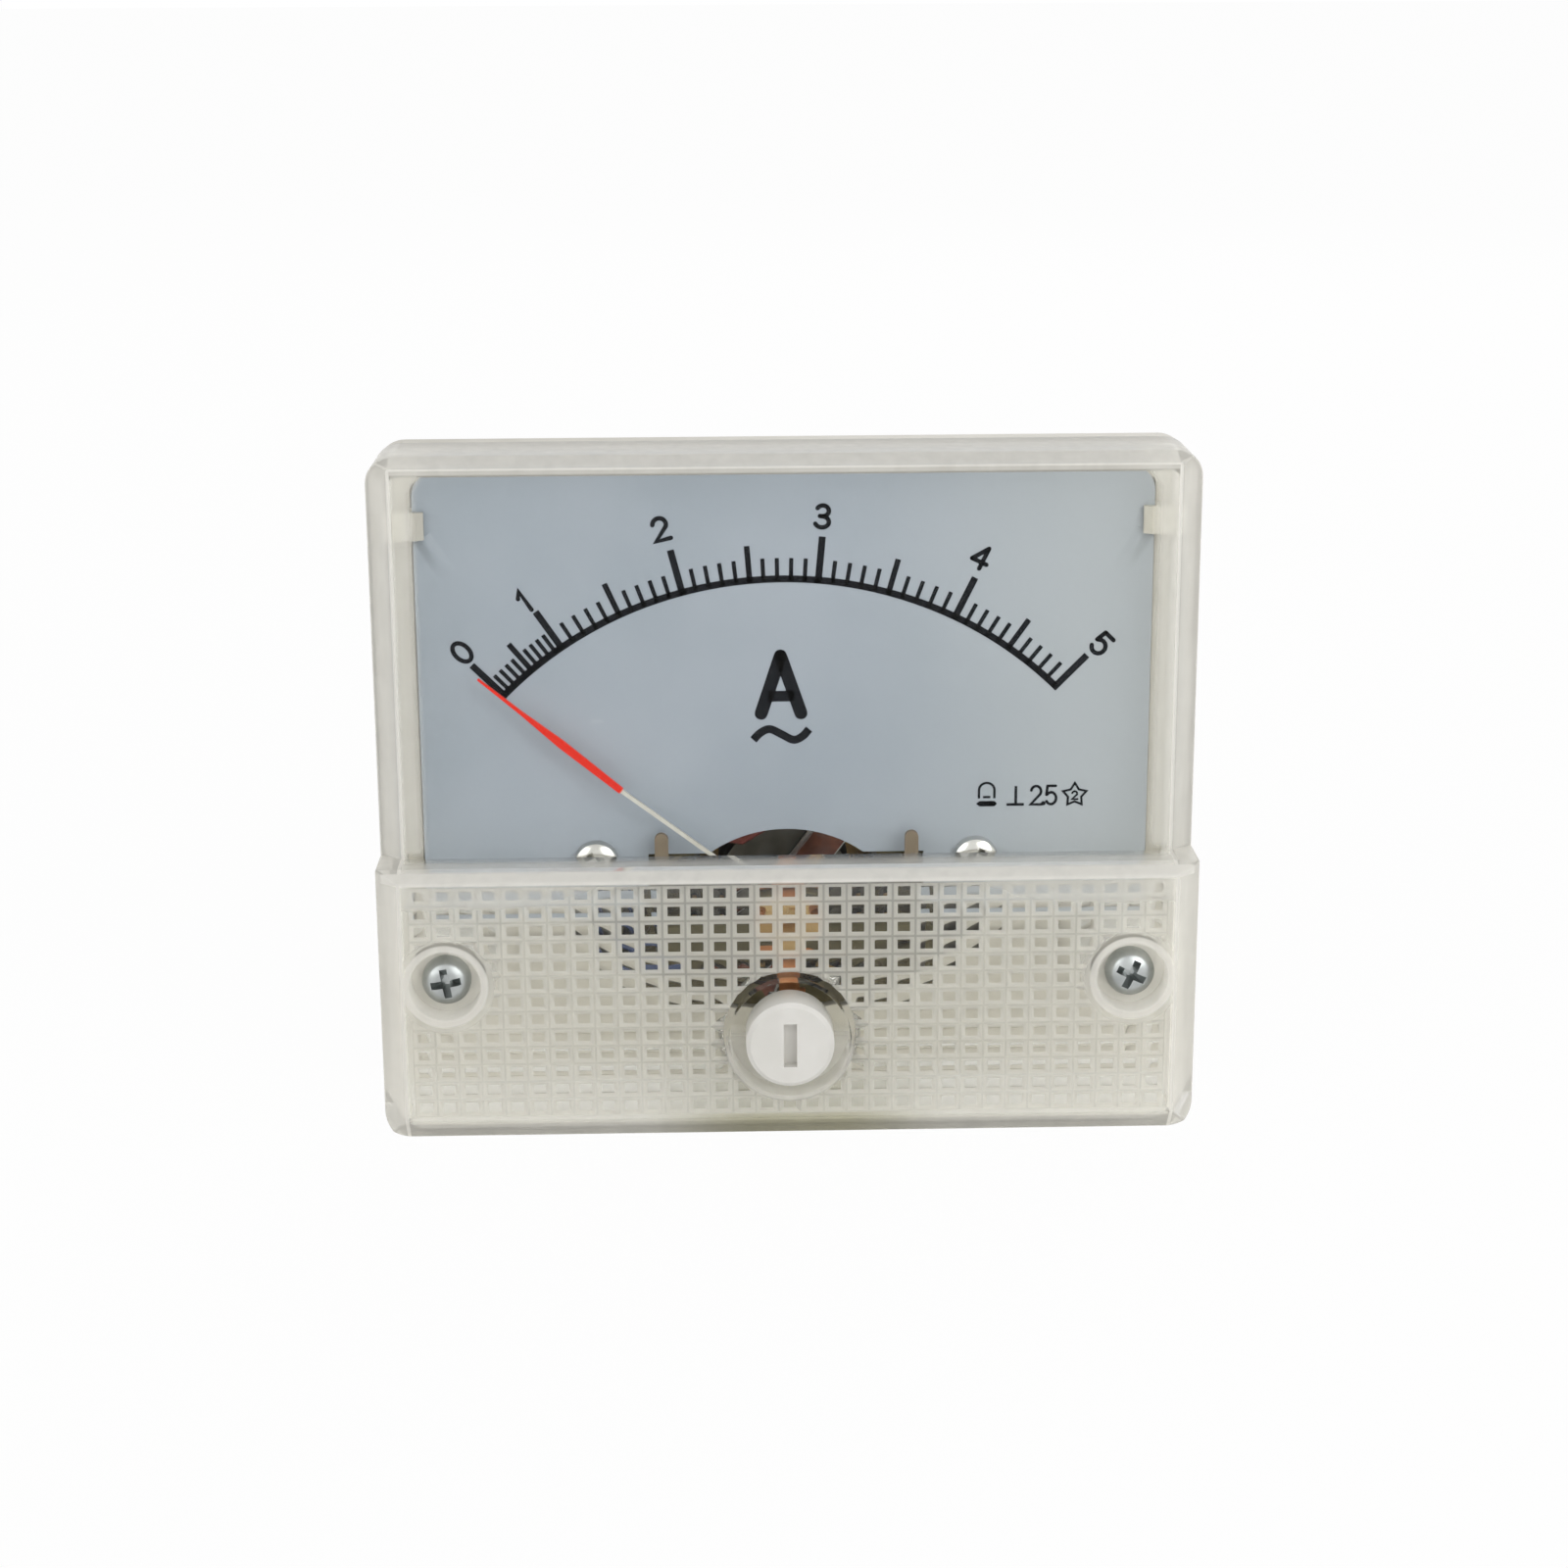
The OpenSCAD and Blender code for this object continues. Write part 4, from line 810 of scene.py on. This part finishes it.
def on_arc(angle, radius):
    """A spot on a circle round the arc's centre. The angle is in degrees clockwise from straight up."""
    turn = math.radians(angle)
    return (ARC_X + radius * math.sin(turn), ARC_Z + radius * math.cos(turn))


span = MAJOR[-1] - MAJOR[0]
arc_angles = [MAJOR[0] + span * i / ARC_STEPS for i in range(ARC_STEPS + 1)]
pen([on_arc(angle, ARC_R + ARC_T / 2) for angle in arc_angles], ARC_T, ends="flat")
for number, angle in enumerate(MAJOR):
    length, width = LONG_TICK
    pen([on_arc(angle, ARC_R), on_arc(angle, ARC_R + ARC_T + length)], width, ends="flat")
    write_digit(str(number), *DIGIT_AT[number], DIGIT_H, DIGIT_PEN, lean=angle)
for start, end in zip(MAJOR, MAJOR[1:]):
    for tenth in range(1, 10):
        length, width = MIDDLE_TICK if tenth == 5 else SHORT_TICK
        angle = start + (end - start) * tenth / 10
        pen([on_arc(angle, ARC_R + 0.1), on_arc(angle, ARC_R + ARC_T + length)], width, ends="flat")
print("scale has", len(ink_faces), "faces")

# %% Unit
LETTER_PEN, BAR_PEN, WAVE_PEN = 1.05, 0.88, 0.66
LETTER_TOP = (-0.38, 10.36)
for foot in ((-1.95, 5.64), (1.25, 5.64)):
    pen([foot, LETTER_TOP], LETTER_PEN)
pen([(-1.4, 7.05), (0.7, 7.05)], BAR_PEN, ends="flat")
wave = [(-2.6, 3.45), (-2.02, 4.03), (-1.26, 4.33), (-0.3, 3.88), (0.64, 3.42), (1.38, 3.72), (1.9, 4.3)]
pen(smooth_path(wave), WAVE_PEN, ends="flat")
print("unit drawn")

# %% Small marks
SIGN_PEN = 0.22
CLASS_H, CLASS_Z = 1.68, -1.46
STAR_X, STAR_R, STAR_NOTCH_R = 23.43, 1.0, 0.56
pen([(15.65, -1.68)] + bow(16.28, -0.98, 0.63, 0.6, 180, 0, 14) + [(16.91, -1.68)], 0.2, ends="flat")
pen([(15.98, -1.57), (16.58, -1.57)], 0.19, ends="flat")
pen([(15.46, -2.13), (17.1, -2.13)], 0.16, ends="flat")
for tip in (15.98, 16.62):
    pen([(tip - 0.2, -2.13), (tip + 0.2, -2.13)], 0.46)
pen([(18.65, -0.66), (18.65, -2.2)], SIGN_PEN, ends="flat")
pen([(17.9, -2.22), (19.32, -2.22)], SIGN_PEN, ends="flat")
write_digit("2", 20.3, CLASS_Z, CLASS_H, SIGN_PEN, narrow=0.85)
pen([(20.88, -2.14), (20.92, -2.14)], 0.34)
write_digit("5", 21.5, CLASS_Z, CLASS_H, SIGN_PEN, narrow=0.85)
star = []
for point in range(10):
    turn = math.radians(36 * point)
    radius = STAR_NOTCH_R if point % 2 else STAR_R
    star.append((STAR_X + radius * math.sin(turn), CLASS_Z + radius * math.cos(turn)))
pen(star, 0.18, closed=True)
write_digit("2", STAR_X, -1.5, 0.72, 0.16)
print("marks drawn")

# %% Ink
ink = Finish("printing_ink")
ink_cloud = ink.noise(3, 2)
ink.set(Base_Color=ink.mix(ink_cloud, paint(14, 16, 21), paint(22, 24, 30)), Specular_IOR_Level=0.1)
ink.set(Roughness=0.42 + 0.1 * ink_cloud, Normal=ink.bump(ink_cloud, 0.002))
ink_mesh = bpy.data.meshes.new("dial_print")
ink_mesh.from_pydata(ink_verts, [], ink_faces)
ink_mesh.update()
add_piece("dial_print", ink_mesh, ink)

# %% [markdown]
# ## Screw heads
# The cover and the dial are held by small screws with rounded heads and cross recesses. A head is a profile
# turned round the screw's axis. The recess could be modelled face by face, but taking a tapered cross away
# with a Boolean modifier is closer to how a real one is struck.


# %% Turned profiles
def turned(shape, x, z, profile, steps=40):
    """Turns a profile of radius and place along Y round an axis, as one closed skin."""
    rings = []
    for radius, y in profile:
        if radius < 1e-6:
            rings.append([shape.verts.new((x * MM, y * MM, z * MM))])
            continue
        angles = [2 * math.pi * k / steps for k in range(steps)]
        ring = [((x + radius * math.cos(a)) * MM, y * MM, (z + radius * math.sin(a)) * MM) for a in angles]
        rings.append([shape.verts.new(spot) for spot in ring])
    for ring, after in zip(rings, rings[1:]):
        for k in range(steps):
            quad = [ring[k % len(ring)], ring[(k + 1) % len(ring)]]
            quad += [after[(k + 1) % len(after)], after[k % len(after)]]
            kept = [vert for i, vert in enumerate(quad) if vert not in quad[:i]]
            if len(kept) > 2:
                shape.faces.new(kept)


def finished(shape, name):
    """Turns the faces outwards and gives the mesh."""
    bmesh.ops.recalc_face_normals(shape, faces=shape.faces)
    mesh = bpy.data.meshes.new(name)
    shape.to_mesh(mesh)
    shape.free()
    return mesh


# %% Cross recess
def cross_cutter(x, z, y_top, radius, depth, lean):
    """A tapered cross, wide at the top of the head and narrow at its bottom."""
    shape = bmesh.new()
    for quarter in (0, 90):
        turn = math.radians(lean + quarter)
        along = Vector((math.cos(turn), 0, math.sin(turn)))
        side = Vector((-math.sin(turn), 0, math.cos(turn)))
        levels = ((y_top - 0.3, 0.72, 0.17), (y_top + depth * 0.5, 0.5, 0.13), (y_top + depth, 0.2, 0.1))
        rings = []
        for y, reach_out, half in levels:
            ring = []
            for sa, sb in SQUARE:
                spot = Vector((x, y, z)) + along * sa * radius * reach_out + side * sb * radius * half
                ring.append(shape.verts.new(spot * MM))
            rings.append(ring)
        for ring, after in zip(rings, rings[1:]):
            for k in range(4):
                shape.faces.new((ring[k], ring[(k + 1) % 4], after[(k + 1) % 4], after[k]))
        shape.faces.new(rings[0])
        shape.faces.new(rings[-1])
    return finished(shape, "cross_cutter")


# %% Whole screws
DOME = ((0, 0), (0.45, 0.03), (0.76, 0.16), (0.93, 0.36), (1, 0.6))
RECESS_SHARE = 0.8


def screw_mesh(name, spots, y_seat, y_end, radius, head_r, head_t):
    """Screws with domed heads: each spot has x, z and the lean of its cross."""
    y_top = y_seat - head_t
    profile = [(head_r * share_r, y_top + share_y * head_t) for share_r, share_y in DOME]
    profile += [(head_r, y_seat), (radius, y_seat), (radius, y_end), (0, y_end)]
    whole = bmesh.new()
    for x, z, lean in spots:
        solid = bmesh.new()
        turned(solid, x, z, profile)
        carrier = bpy.data.objects.new("carrier", finished(solid, "carrier"))
        recess = cross_cutter(x, z, y_top, head_r, head_t * RECESS_SHARE, lean)
        cutter = bpy.data.objects.new("cutter", recess)
        for made in (carrier, cutter):
            scene.collection.objects.link(made)
        cut = carrier.modifiers.new("cross", "BOOLEAN")
        cut.operation = "DIFFERENCE"
        cut.solver = "EXACT"
        cut.use_self = True
        cut.object = cutter
        bpy.context.view_layer.update()
        result = bpy.data.meshes.new_from_object(carrier.evaluated_get(bpy.context.evaluated_depsgraph_get()))
        whole.from_mesh(result)
        for made in (carrier, cutter):
            bpy.data.objects.remove(made)
    mesh = finished(whole, name)
    smooth_mesh(mesh, 28)
    return mesh


# %% Cover screws and dial screws
COVER_SEAT = -12.6
DIAL_SCREW_X, DIAL_SCREW_Z = 15.4, -6.65
_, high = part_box("cover_screws")
spots = [(-SCREW_X, SCREW_Z, 10), (SCREW_X, SCREW_Z, -25)]
mesh = screw_mesh("cross_screws", spots, COVER_SEAT, high.y / MM, 1.25, 1.95, 1.6)
add_piece("cross_screws", mesh, zinc_steel, stands_for="cover_screws")
_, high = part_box("dial_screws")
spots = [(-DIAL_SCREW_X, DIAL_SCREW_Z, 30), (DIAL_SCREW_X, DIAL_SCREW_Z, 62)]
mesh = screw_mesh("dial_cross_screws", spots, DIAL_FACE, high.y / MM, 1.0, 1.85, 1.2)
add_piece("dial_cross_screws", mesh, nickel_steel, stands_for="dial_screws")

# %% [markdown]
# ## Threads
# The studs at the back carry screw threads. A thread could be made with the Screw modifier, but a skin
# whose radius follows the angle and the place along the stud is closed and easy to chamfer at the end.


# %% Threaded studs
ROWS_IN_PITCH = 8
THREAD_DEPTH = 0.58
CREST, FLANK = 0.12, 0.76


def threaded(shape, x, z, y0, y1, radius, pitch, chamfer):
    """A rod along Y with a right-hand thread, chamfered at y1."""
    steps = 28
    rows = round((y1 - y0) / pitch * ROWS_IN_PITCH)
    rings = []
    for row in range(rows + 1):
        y = y0 + (y1 - y0) * row / rows
        limit = radius - max(0, chamfer - (y1 - y))
        ring = []
        for k in range(steps):
            off_crest = abs(((y / pitch + k / steps) % 1) * 2 - 1)
            cut_in = THREAD_DEPTH * pitch * min(max((off_crest - CREST) / FLANK, 0), 1)
            r = min(radius - cut_in, limit)
            a = 2 * math.pi * k / steps
            ring.append(shape.verts.new(((x + r * math.cos(a)) * MM, y * MM, (z + r * math.sin(a)) * MM)))
        rings.append(ring)
    for ring, after in zip(rings, rings[1:]):
        for k in range(steps):
            shape.faces.new((ring[k], ring[(k + 1) % steps], after[(k + 1) % steps], after[k]))
    shape.faces.new(rings[0])
    shape.faces.new(rings[-1])


# %% Terminals
TERMINAL_X = 12.5
COLLAR_Y0, COLLAR_Y1 = 27.6, 30.2
COLLAR_ACROSS = 7
CHAMFER_IN, CHAMFER_Y = 0.88, 0.35
INTO_COLLAR = 0.1
low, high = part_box("terminal_studs")
shape = bmesh.new()
for side in (-1, 1):
    threaded(shape, side * TERMINAL_X, 0, low.y / MM, COLLAR_Y0 - INTO_COLLAR, 1.7, 0.6, 0)
    threaded(shape, side * TERMINAL_X, 0, COLLAR_Y1 - INTO_COLLAR, high.y / MM, 2.0, 0.7, 0.5)
    point_r = COLLAR_ACROSS / math.sqrt(3)
    collar = [
        (0, COLLAR_Y0), (point_r * CHAMFER_IN, COLLAR_Y0), (point_r, COLLAR_Y0 + CHAMFER_Y),
        (point_r, COLLAR_Y1 - CHAMFER_Y), (point_r * CHAMFER_IN, COLLAR_Y1), (0, COLLAR_Y1),
    ]
    turned(shape, side * TERMINAL_X, 0, collar, 6)
mesh = finished(shape, "threaded_terminals")
add_piece("threaded_terminals", mesh, brass, stands_for="terminal_studs")

# %% Mounting studs
STUD_X, STUD_Z = 27.5, 22
HEAD_R = 1.9
low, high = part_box("mounting_studs")
shape = bmesh.new()
for sx in (-1, 1):
    for sz in (-1, 1):
        head = [(0, low.y / MM), (HEAD_R, low.y / MM), (HEAD_R, -0.12), (HEAD_R - 0.1, 0), (0, 0)]
        turned(shape, sx * STUD_X, sz * STUD_Z, head)
        threaded(shape, sx * STUD_X, sz * STUD_Z, -0.1, high.y / MM, 1.5, 0.5, 0.5)
mesh = finished(shape, "threaded_studs")
add_piece("threaded_studs", mesh, zinc_steel, stands_for="mounting_studs")
